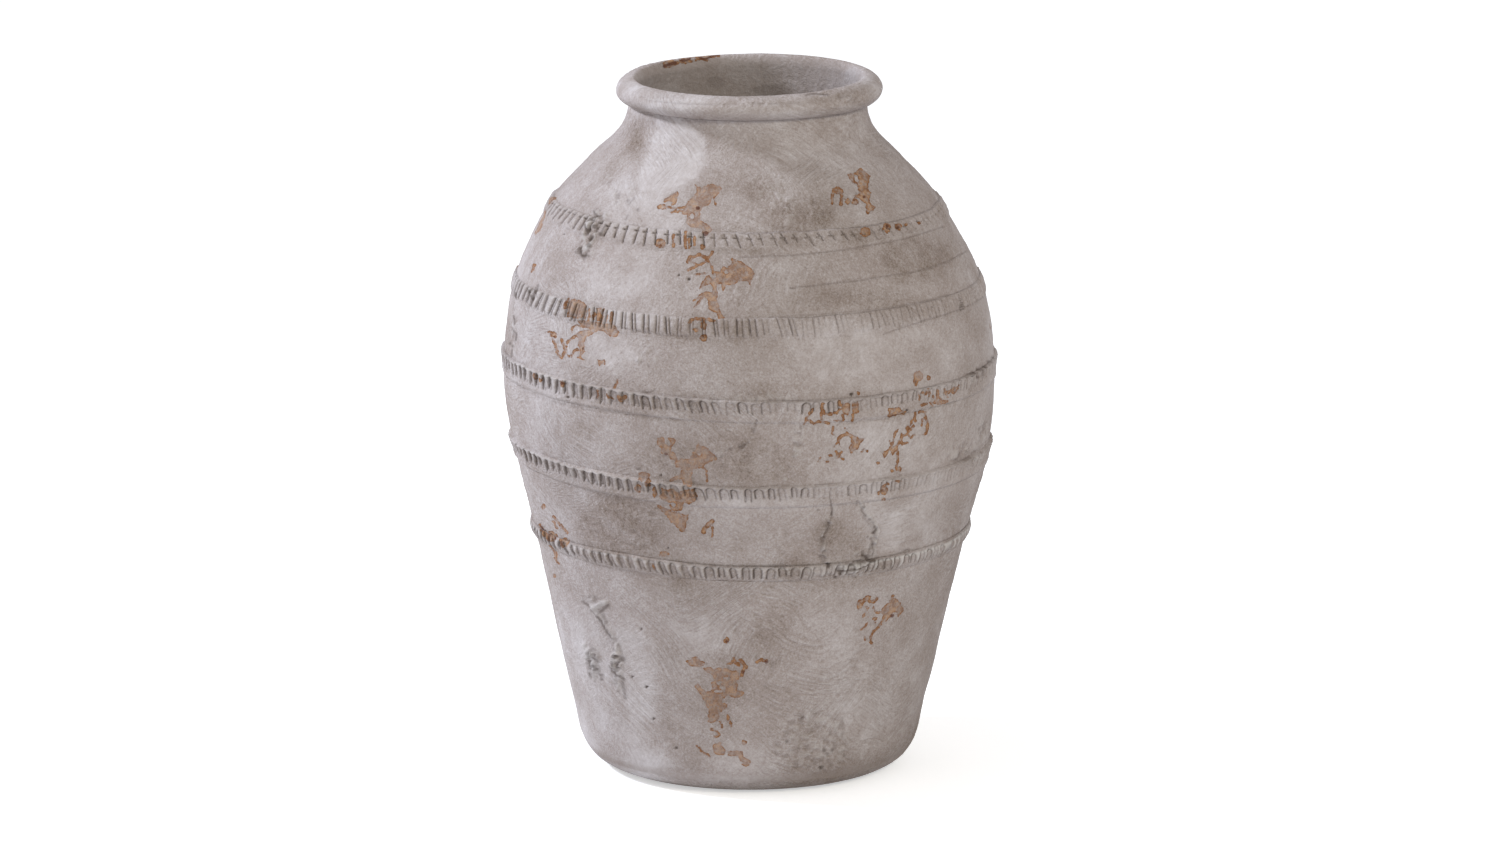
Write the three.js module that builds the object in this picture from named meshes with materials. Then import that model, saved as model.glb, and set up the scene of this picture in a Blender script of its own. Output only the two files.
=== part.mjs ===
// Terracotta storage jar, built as a potter builds one: a base slab, six wall courses raised one on
// the other with bevelled joints, a rolled rim coil, and a notched band of clay over each course joint.
// Millimetres, +Z up. The origin is the centre of the underside, on the floor.
import * as THREE from "three";

// Overall sizes
const HEIGHT = 470; // floor to the crown of the rim
const BELLY_RADIUS = 164.2; // outer wall at its widest
const WALL = 10; // wall thickness, square to the surface
const JOINT_GAP = 0.3; // slip line between two pieces of clay
const JOINT_BEVEL = 6; // how much higher a course joint lies inside than outside

// Foot and base slab
const FOOT_RADIUS = 115.5; // outer wall where the rounded foot ends
const FOOT_HEIGHT = 27; // height of the rounded foot
const FOOT_CORNER = 27; // how far the foot curls in under the wall
const FOOT_LAND = 7; // width of the foot's ring on the floor
const BASE_THICKNESS = 12;
const INNER_FILLET = 15; // inside corner between wall and base

// Neck and rim
const NECK_RADIUS = 79; // outer wall under the rim
const RIM_HEIGHT = 19.5; // crease under the rim to its crown
const RIM_RADIUS = 89; // outermost point of the rolled rim
const RIM_DROP = 10; // crown down to the outermost point
const CROWN_RADIUS = 79; // highest circle of the rim
const MOUTH_RADIUS = 75; // inner edge of the lip
const LIP_DROP = 6; // crown down to the inner edge of the lip

// Clay bands: the two ways of notching them, with how far the crest and the lower edge stand proud
// and how deep a notch goes
const BAND_WIDTH = 14;
const FOOT_BAND_WIDTH = 11;
const NOTCH_PITCH = 7.7;
const CREST_SETBACK = 2; // crest below the band's upper edge
const EDGE_SETBACK = 1; // outer lower edge above the band's inner one
const SCOOPED = { crest: 2.6, edge: 1.2, notch: 1.8 };
const SLIT = { crest: 2.4, edge: 1.8, notch: 1.4 };

// Places along the wall: up is the share of the way from the floor to the crease under the rim, and
// out the share of the way to the belly's radius, from the foot's below it and the neck's above it.
const LOWER_WALL = { up: 0.211, out: 0.304 }; // half way up the plain lower wall
const SHOULDER = { up: 0.912, out: 0.312 }; // half way along the sloping shoulder
const NECK_BEND = { up: 0.961, out: 0.066 }; // where the shoulder turns up into the neck
const BELLY = { up: 0.61, out: 1 }; // the widest place

// Notched bands from the foot up, each over the joint of two courses
const BANDS = [
  { name: "foot_band", up: 0.361, out: 0.618, width: FOOT_BAND_WIDTH, press: SCOOPED },
  { name: "lower_belly_band", up: 0.485, out: 0.897, width: BAND_WIDTH, press: SCOOPED },
  { name: "belly_band", ...BELLY, width: BAND_WIDTH, press: SCOOPED },
  { name: "upper_belly_band", up: 0.7325, out: 0.911, width: BAND_WIDTH, press: SLIT },
  { name: "shoulder_band", up: 0.846, out: 0.61, width: BAND_WIDTH, press: SLIT },
];
const COURSES = [
  "foot_course",
  "lower_belly_course",
  "belly_course",
  "upper_belly_course",
  "shoulder_course",
  "neck_course",
];

// Fineness of the curves
const TURN_STEPS = 60;
const ROLL_STEPS = 4;
const LIP_STEPS = 3;
const FOOT_STEPS = 4;
const COURSE_STEPS = 2;

// Fired clay under a chalky lime wash
const wash = new THREE.MeshStandardMaterial({ color: 0xa69d98, roughness: 0.95, metalness: 0 });
const bandWash = new THREE.MeshStandardMaterial({ color: 0xa0968f, roughness: 0.95, metalness: 0 });
const bareClay = new THREE.MeshStandardMaterial({ color: 0xb0784f, roughness: 0.9, metalness: 0 });

// The outer wall, from the top of the rounded foot to the neck, as radius against height
const neckHeight = HEIGHT - RIM_HEIGHT;

function wallPlace({ up, out }) {
  const end = up < BELLY.up ? FOOT_RADIUS : NECK_RADIUS;
  return new THREE.Vector2(end + (BELLY_RADIUS - end) * out, neckHeight * up);
}

const wallCurve = new THREE.SplineCurve([
  new THREE.Vector2(FOOT_RADIUS, FOOT_HEIGHT),
  ...[LOWER_WALL, ...BANDS, SHOULDER, NECK_BEND].map(wallPlace),
  new THREE.Vector2(NECK_RADIUS, neckHeight),
]);
const wallLength = wallCurve.getLength();

// A point of the wall: along is the length up the outer face from the foot, inward the depth under it.
function wallPoint(along, inward = 0) {
  const share = THREE.MathUtils.clamp(along / wallLength, 0, 1);
  const point = wallCurve.getPointAt(share);
  const tangent = wallCurve.getTangentAt(share);
  const beyond = along - share * wallLength;
  point.addScaledVector(tangent, beyond);
  return point.add(new THREE.Vector2(-tangent.y, tangent.x).multiplyScalar(inward));
}

// How far up the wall the given depth reaches a height, by halving.
function alongAtHeight(height, inward = 0) {
  let low = -wallLength / 2;
  let high = wallLength * 1.5;
  for (let turn = 0; turn < 60; turn++) {
    const middle = (low + high) / 2;
    if (wallPoint(middle, inward).y < height) low = middle;
    else high = middle;
  }
  return low;
}

function evenSteps(from, to, count) {
  return Array.from({ length: count + 1 }, (_, step) => from + ((to - from) * step) / count);
}

// Where a straight run that leaves the wall's foot downwards meets a level.
function footLineAt(along, inward, level) {
  const point = wallPoint(along, inward);
  const tangent = wallCurve.getTangentAt(THREE.MathUtils.clamp(along / wallLength, 0, 1));
  return new THREE.Vector2(point.x + ((level - point.y) * tangent.x) / tangent.y, level);
}

// A closed outline of radius against height, turned about the jar's axis.
function turned(outline, steps = TURN_STEPS) {
  const ring = new THREE.LatheGeometry([...outline, outline[0]], steps);
  return ring.rotateX(Math.PI / 2);
}

function piece(name, geometry, material) {
  const mesh = new THREE.Mesh(geometry, material);
  mesh.name = name;
  return mesh;
}

// Course joints, as lengths up the outer wall
const joints = BANDS.map((band) => alongAtHeight(wallPlace(band).y));
const neckJoint = alongAtHeight(neckHeight);
const half = JOINT_GAP / 2;

// Base slab: a bevelled disc that drops on to the foot course's seat
const innerFoot = alongAtHeight(BASE_THICKNESS + INNER_FILLET, WALL);
const innerCorner = footLineAt(innerFoot, WALL, BASE_THICKNESS);
const outerCorner = footLineAt(0, 0, 0);
const seatTop = innerCorner.x - INNER_FILLET;
const seatBottom = outerCorner.x - FOOT_CORNER - FOOT_LAND;

function baseSlab() {
  return turned([
    new THREE.Vector2(0, 0),
    new THREE.Vector2(seatBottom - JOINT_GAP, 0),
    new THREE.Vector2(seatTop - JOINT_GAP, BASE_THICKNESS),
    new THREE.Vector2(0, BASE_THICKNESS),
  ]);
}

// The outer face of a wall course, with points where the bands' edges lie on it.
function courseFace(from, to, bandBelow, bandAbove) {
  const first = bandBelow ? from + bandBelow.width / 2 : from;
  const last = bandAbove ? to - bandAbove.width / 2 : to;
  const steps = evenSteps(first, last, COURSE_STEPS);
  if (bandBelow) steps.unshift(from);
  if (bandAbove) steps.push(to);
  return steps.map((along) => wallPoint(along));
}

function courseBack(from, to) {
  return evenSteps(to, from, COURSE_STEPS).map((along) => wallPoint(along, WALL));
}

function wallCourse(index) {
  const below = index - 1;
  const from = joints[below] + half;
  const to = index < BANDS.length ? joints[index] - half : neckJoint - half;
  const face = courseFace(from, to, BANDS[below], BANDS[index]);
  return turned([...face, ...courseBack(from + JOINT_BEVEL, to + JOINT_BEVEL)]);
}

function footCourse() {
  const to = joints[0] - half;
  const curl = new THREE.QuadraticBezierCurve(
    new THREE.Vector2(outerCorner.x - FOOT_CORNER, 0),
    outerCorner,
    wallPoint(0),
  );
  const fillet = new THREE.QuadraticBezierCurve(
    wallPoint(innerFoot, WALL),
    innerCorner,
    new THREE.Vector2(seatTop, BASE_THICKNESS),
  );
  return turned([
    new THREE.Vector2(seatBottom, 0),
    ...curl.getPoints(FOOT_STEPS).slice(0, -1),
    ...courseFace(0, to, undefined, BANDS[0]),
    ...courseBack(innerFoot, to + JOINT_BEVEL).slice(0, -1),
    ...fillet.getPoints(FOOT_STEPS),
  ]);
}

// Rim coil: a roll over the neck's top, with a rounded lip and a face that leads into the throat
function rimCoil() {
  const crease = wallPoint(neckJoint + half);
  const throat = wallPoint(neckJoint + half + JOINT_BEVEL, WALL);
  const widest = HEIGHT - RIM_DROP;
  const rollReach = RIM_RADIUS - crease.x;
  const crownReach = RIM_RADIUS - CROWN_RADIUS;
  const lipReach = CROWN_RADIUS - MOUTH_RADIUS;
  const quarter = Math.PI / 2;
  const roll = new THREE.EllipseCurve(crease.x, widest, rollReach, widest - crease.y, -quarter, 0);
  const crown = new THREE.EllipseCurve(CROWN_RADIUS, widest, crownReach, RIM_DROP, 0, quarter);
  const lip = new THREE.EllipseCurve(CROWN_RADIUS, HEIGHT - LIP_DROP, lipReach, LIP_DROP, quarter, Math.PI);
  return turned([
    ...roll.getPoints(ROLL_STEPS),
    ...crown.getPoints(ROLL_STEPS).slice(1),
    ...lip.getPoints(LIP_STEPS).slice(1),
    throat,
  ]);
}

// Notched band: every second column of the ring is pressed in as a notch
function notchedBand({ width, press }, joint) {
  const lower = joint - width / 2;
  const upper = joint + width / 2;
  const section = (crest, edge) => [
    wallPoint(lower, -JOINT_GAP),
    wallPoint(lower + EDGE_SETBACK, -JOINT_GAP - edge),
    wallPoint(upper - CREST_SETBACK, -JOINT_GAP - crest),
    wallPoint(upper, -JOINT_GAP),
  ];
  const notches = Math.round((2 * Math.PI * wallPoint(joint).x) / NOTCH_PITCH);
  const ring = turned(section(press.crest, press.edge), 2 * notches);
  const pressed = turned(section(press.crest - press.notch, press.edge / 2), 2 * notches);
  const places = ring.getAttribute("position");
  const rows = places.count / (2 * notches + 1);
  for (let column = 1; column < 2 * notches; column += 2) {
    for (let row = column * rows; row < (column + 1) * rows; row++) {
      places.copyAt(row, pressed.getAttribute("position"), row);
    }
  }
  return ring;
}

const jar = new THREE.Group();
jar.add(piece("base_slab", baseSlab(), bareClay));
COURSES.forEach((name, index) => {
  jar.add(piece(name, index === 0 ? footCourse() : wallCourse(index), wash));
});
jar.add(piece("rim_coil", rimCoil(), wash));
BANDS.forEach((band, index) => {
  jar.add(piece(band.name, notchedBand(band, joints[index]), bandWash));
});

export default jar;
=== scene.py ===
# The terracotta jar, dressed: every clay piece of the frame gets a hand-worked skin, notched bands,
# a chalky lime wash that has worn through to the clay, and the photograph's light and camera.
import math

import bmesh
import bpy
import numpy as np
from mathutils import Matrix, Vector


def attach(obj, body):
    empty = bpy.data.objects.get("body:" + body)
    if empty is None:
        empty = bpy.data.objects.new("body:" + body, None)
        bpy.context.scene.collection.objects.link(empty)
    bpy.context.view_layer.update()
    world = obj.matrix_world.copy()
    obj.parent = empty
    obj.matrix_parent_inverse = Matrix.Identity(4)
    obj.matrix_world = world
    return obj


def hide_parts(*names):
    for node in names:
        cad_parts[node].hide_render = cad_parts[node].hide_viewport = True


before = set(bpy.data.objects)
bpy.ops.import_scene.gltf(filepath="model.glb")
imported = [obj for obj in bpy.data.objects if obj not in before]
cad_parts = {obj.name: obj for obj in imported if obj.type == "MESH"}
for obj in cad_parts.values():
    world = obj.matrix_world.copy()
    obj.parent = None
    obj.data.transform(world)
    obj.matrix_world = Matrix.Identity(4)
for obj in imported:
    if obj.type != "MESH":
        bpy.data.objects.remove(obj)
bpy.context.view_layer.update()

MM = 0.001

# Sizes of the jar in millimetres, as the frame's solids have them
HEIGHT = 470.0  # floor to the crown of the rim
BELLY_RADIUS = 164.2  # outer wall at its widest
WALL = 10.0  # wall thickness
JOINT_BEVEL = 6.0  # how much higher a course joint lies inside than outside
FOOT_RADIUS = 115.5  # outer wall where the rounded foot ends
FOOT_HEIGHT = 27.0
FOOT_CORNER = 27.0  # how far the foot curls in under the wall
FOOT_LAND = 7.0  # width of the foot's ring on the floor
BASE_THICKNESS = 12.0
INNER_FILLET = 15.0  # inside corner between wall and base
NECK_RADIUS = 79.0  # outer wall under the rim
RIM_HEIGHT = 19.5  # crease under the rim to its crown
RIM_RADIUS = 89.0
RIM_DROP = 10.0  # crown down to the outermost point
CREASE = HEIGHT - RIM_HEIGHT

# The lip and the throat, a little fuller than the solids, as the photograph shows them
CROWN_RADIUS = 78.0
MOUTH_RADIUS = 73.6
LIP_DROP = 7.0
THROAT = (75.8, 430.0)  # radius and height at which the rim's inner face ends
NECK_BACK_DROP = 24.0  # crease down to where the neck's inner face ends

# The hand-rolled rim sinks to one side: by how much, and how far left of the middle, in radians
RIM_SINK = 3.6
RIM_SINK_TURN = 0.5
RIM_WOBBLE = 0.6  # its unevenness, as a share of the wall's

# Places on the wall: the share of the way up to the crease, and of the way out to the belly's radius
LOWER_WALL = (0.211, 0.304)
SHOULDER = (0.912, 0.312)
NECK_BEND = (0.961, 0.066)
BELLY_UP = 0.61

# Clearances and spacings of points, in millimetres
SLAB_GAP = 0.2  # slip line around the base slab
BAND_SEAT = 0.8  # how deep a band is sunk into the wall
FOOT_ROWS = 1.0
COURSE_ROWS = 0.85
BAND_ROWS = 0.5
FOOT_BACK_ROWS = 7.0
COURSE_BACK_ROWS = 5.0
BAND_BACK_ROWS = 4.0

# Numbers of points along the round and the straight stretches of the foot and the rim
CURL_STEPS = 34
FILLET_STEPS = 7
ROLL_STEPS = 22
CROWN_STEPS = 20
LIP_STEPS = 10
SLOPE_STEPS = 40
UNDER_STEPS = 10

CRISP = 0.8  # corners sharper than this, in radians, stay crisp
BARE_CLAY = 8.0  # what the note bare says, in pixels, where a piece never had any wash

# The photograph's frame and camera
PHOTO_WIDTH = 1500
PHOTO_HEIGHT = 844
LENS = 182.6
SENSOR = 36.0
CAMERA_AT = np.array([0.0, -5004.5, 1280.9])
CAMERA_AIM = np.array([0.5, 0.0, 232.1])


def wall_place(up, out):
    """Radius and height of a place given by its shares."""
    end = FOOT_RADIUS if up < BELLY_UP else NECK_RADIUS
    return end + (BELLY_RADIUS - end) * out, CREASE * up


# Notched bands from the foot up: place on the wall, width and number of notches
BANDS = {
    "foot_band": dict(up=0.361, out=0.618, width=11.5, notches=118),
    "lower_belly_band": dict(up=0.485, out=0.897, width=15.5, notches=129),
    "belly_band": dict(up=BELLY_UP, out=1.0, width=15.5, notches=128),
    "upper_belly_band": dict(up=0.7325, out=0.911, width=15.0, notches=122),
    "shoulder_band": dict(up=0.846, out=0.61, width=15.5, notches=105),
}


# Lines of the wall

def through(points, steps=80):
    """A smooth line through the points."""
    spots = np.array([points[0], *points, points[-1]], float)
    share = np.linspace(0, 1, steps, endpoint=False)[:, None]
    spans = []
    for before, start, end, after in zip(spots, spots[1:], spots[2:], spots[3:]):
        leave = (end - before) / 2
        reach = (after - start) / 2
        bend = 3 * (end - start) - 2 * leave - reach
        twist = 2 * (start - end) + leave + reach
        spans.append(start + leave * share + bend * share**2 + twist * share**3)
    return np.vstack([*spans, spots[-1:]])


wall_line = through(
    [
        (FOOT_RADIUS, FOOT_HEIGHT),
        wall_place(*LOWER_WALL),
        *[wall_place(band["up"], band["out"]) for band in BANDS.values()],
        wall_place(*SHOULDER),
        wall_place(*NECK_BEND),
        (NECK_RADIUS, CREASE),
    ]
)
wall_run = np.r_[0, np.cumsum(np.hypot(*np.diff(wall_line, axis=0).T))]
wall_lean = np.gradient(wall_line, axis=0)
wall_lean /= np.hypot(*wall_lean.T)[:, None]
wall_length = wall_run[-1]


def wall_point(along, inward=0.0):
    """Radius and height of the wall at a length up its outer face, and a depth under it."""
    along = np.asarray(along, float)
    held = np.clip(along, 0, wall_length)
    spot = np.stack([np.interp(held, wall_run, wall_line[:, axis]) for axis in (0, 1)], -1)
    lean = np.stack([np.interp(held, wall_run, wall_lean[:, axis]) for axis in (0, 1)], -1)
    square = np.stack([-lean[..., 1], lean[..., 0]], -1)
    return spot + (along - held)[..., None] * lean + np.asarray(inward, float)[..., None] * square


def along_at(height):
    """Length up the outer face at which it reaches a height."""
    return np.interp(height, wall_line[:, 1], wall_run)


def radius_at(height):
    """Outer radius of the wall at a height."""
    return np.interp(height, wall_line[:, 1], wall_line[:, 0])


joints = [along_at(wall_place(band["up"], band["out"])[1]) for band in BANDS.values()]


def bow(start, corner, end, steps):
    """A rounded corner from start to end."""
    share = np.linspace(0, 1, steps)[:, None]
    start, corner, end = (np.array(place, float) for place in (start, corner, end))
    return (1 - share) ** 2 * start + 2 * share * (1 - share) * corner + share**2 * end


def evenly(start, end, spacing):
    """Numbers from start to end, about the given spacing apart."""
    return np.linspace(start, end, max(2, round(abs(end - start) / spacing) + 1))


# Clay noise, the same in every run: the large numbers only stir the bits of a place or an index

STIR = np.array([374761393, 668265263, 2246822519])
STIR_SEED = 3266489917


def mottle(points, size, seed=0, layers=1):
    """Smooth lumps of about the given size, from -1 to 1."""
    total = np.zeros(len(points))
    strength = 1.0
    for layer in range(layers):
        spot = points / size + seed * 19.19 + layer * 7.7
        cell = np.floor(spot).astype(np.int64)
        part = spot - cell
        part = part**3 * (part * (part * 6 - 15) + 10)
        for corner in range(8):
            step = np.array([corner & 1, corner >> 1 & 1, corner >> 2 & 1])
            key = ((cell + step) * STIR).sum(1) + seed * STIR_SEED
            key = (key ^ key >> 13) * 1274126177 & 0xFFFFFFFF
            key = (key ^ key >> 16) * 2654435761 & 0xFFFFFFFF
            share = np.where(step, part, 1 - part).prod(1)
            total += strength * share * (key / 0x80000000 - 1)
        strength *= 0.5
        size = size / 2
    return total


def chance(index, seed):
    """One number from 0 to 1 for each whole index."""
    key = (np.asarray(index).astype(np.int64) * 668265263 + seed * 374761393) & 0xFFFFFFFF
    key = (key ^ key >> 15) * 2246822519 & 0xFFFFFFFF
    key = (key ^ key >> 13) * 3266489917 & 0xFFFFFFFF
    return (key ^ key >> 16) / 0xFFFFFFFF


def ease(value, low, high):
    """0 below low, 1 above high, and smooth between them."""
    share = np.clip((value - low) / (high - low), 0, 1)
    return share * share * (3 - 2 * share)


# Where the photograph shows a place on the jar

view_ahead = (CAMERA_AIM - CAMERA_AT) / np.linalg.norm(CAMERA_AIM - CAMERA_AT)
view_right = np.cross(view_ahead, (0, 0, 1))
view_right /= np.linalg.norm(view_right)
view_up = np.cross(view_right, view_ahead)
PIXELS = LENS / SENSOR * PHOTO_WIDTH


def photo_place(points):
    """Pixels of the 1500 by 844 photograph at which points in millimetres are seen."""
    ray = points - CAMERA_AT
    depth = ray @ view_ahead
    across = PHOTO_WIDTH / 2 + PIXELS * (ray @ view_right) / depth
    down = PHOTO_HEIGHT / 2 - PIXELS * (ray @ view_up) / depth
    return np.stack([across, down], 1)


# Wear and damage, dirt and stains, and painted shade and highlight, drawn where the photograph shows it

FAR = 12.0  # pixels beyond which a mark has no effect


class Mark:
    """A place on the jar in the photograph's pixels: a spot, a line or a filled outline."""

    def __init__(self, strength, points, reach):
        self.strength = strength
        self.points = np.array(points, float)
        self.reach = reach
        spread = np.max(reach) + FAR
        self.low = self.points.min(0) - spread
        self.high = self.points.max(0) + spread

    def near(self, pixels):
        """Which of the pixels the mark can reach."""
        return np.flatnonzero(((pixels > self.low) & (pixels < self.high)).all(1))

    def off_line(self, pixels, points):
        """How far pixels lie from the line through the points."""
        off = np.full(len(pixels), np.inf)
        for start, end in zip(points, points[1:]):
            run = end - start
            share = np.clip((pixels - start) @ run / (run @ run), 0, 1)
            off = np.minimum(off, np.hypot(*(pixels - start - share[:, None] * run).T))
        return off


class Spot(Mark):
    """An oval."""

    def inside(self, pixels):
        """How far pixels lie inside the mark, and below 0 how far outside it."""
        return (1 - np.hypot(*((pixels - self.points[0]) / self.reach).T)) * min(self.reach)


class Line(Mark):
    """A line of some width."""

    def inside(self, pixels):
        return self.reach - self.off_line(pixels, self.points)


class Sheet(Mark):
    """A filled outline."""

    def inside(self, pixels):
        closed = np.vstack([self.points, self.points[:1]])
        within = np.zeros(len(pixels), bool)
        for (ax, ay), (bx, by) in zip(closed, closed[1:]):
            if ay != by:
                crossed = (ay > pixels[:, 1]) != (by > pixels[:, 1])
                edge = ax + (bx - ax) * (pixels[:, 1] - ay) / (by - ay)
                within ^= crossed & (pixels[:, 0] < edge)
        return np.where(within, 1, -1) * self.off_line(pixels, closed)


def spot(strength, x, y, wide, tall):
    return Spot(strength, [(x, y)], (wide, tall))


def line(strength, width, *points):
    return Line(strength, points, width / 2)


def sheet(strength, *points):
    return Sheet(strength, points, 0)


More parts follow.
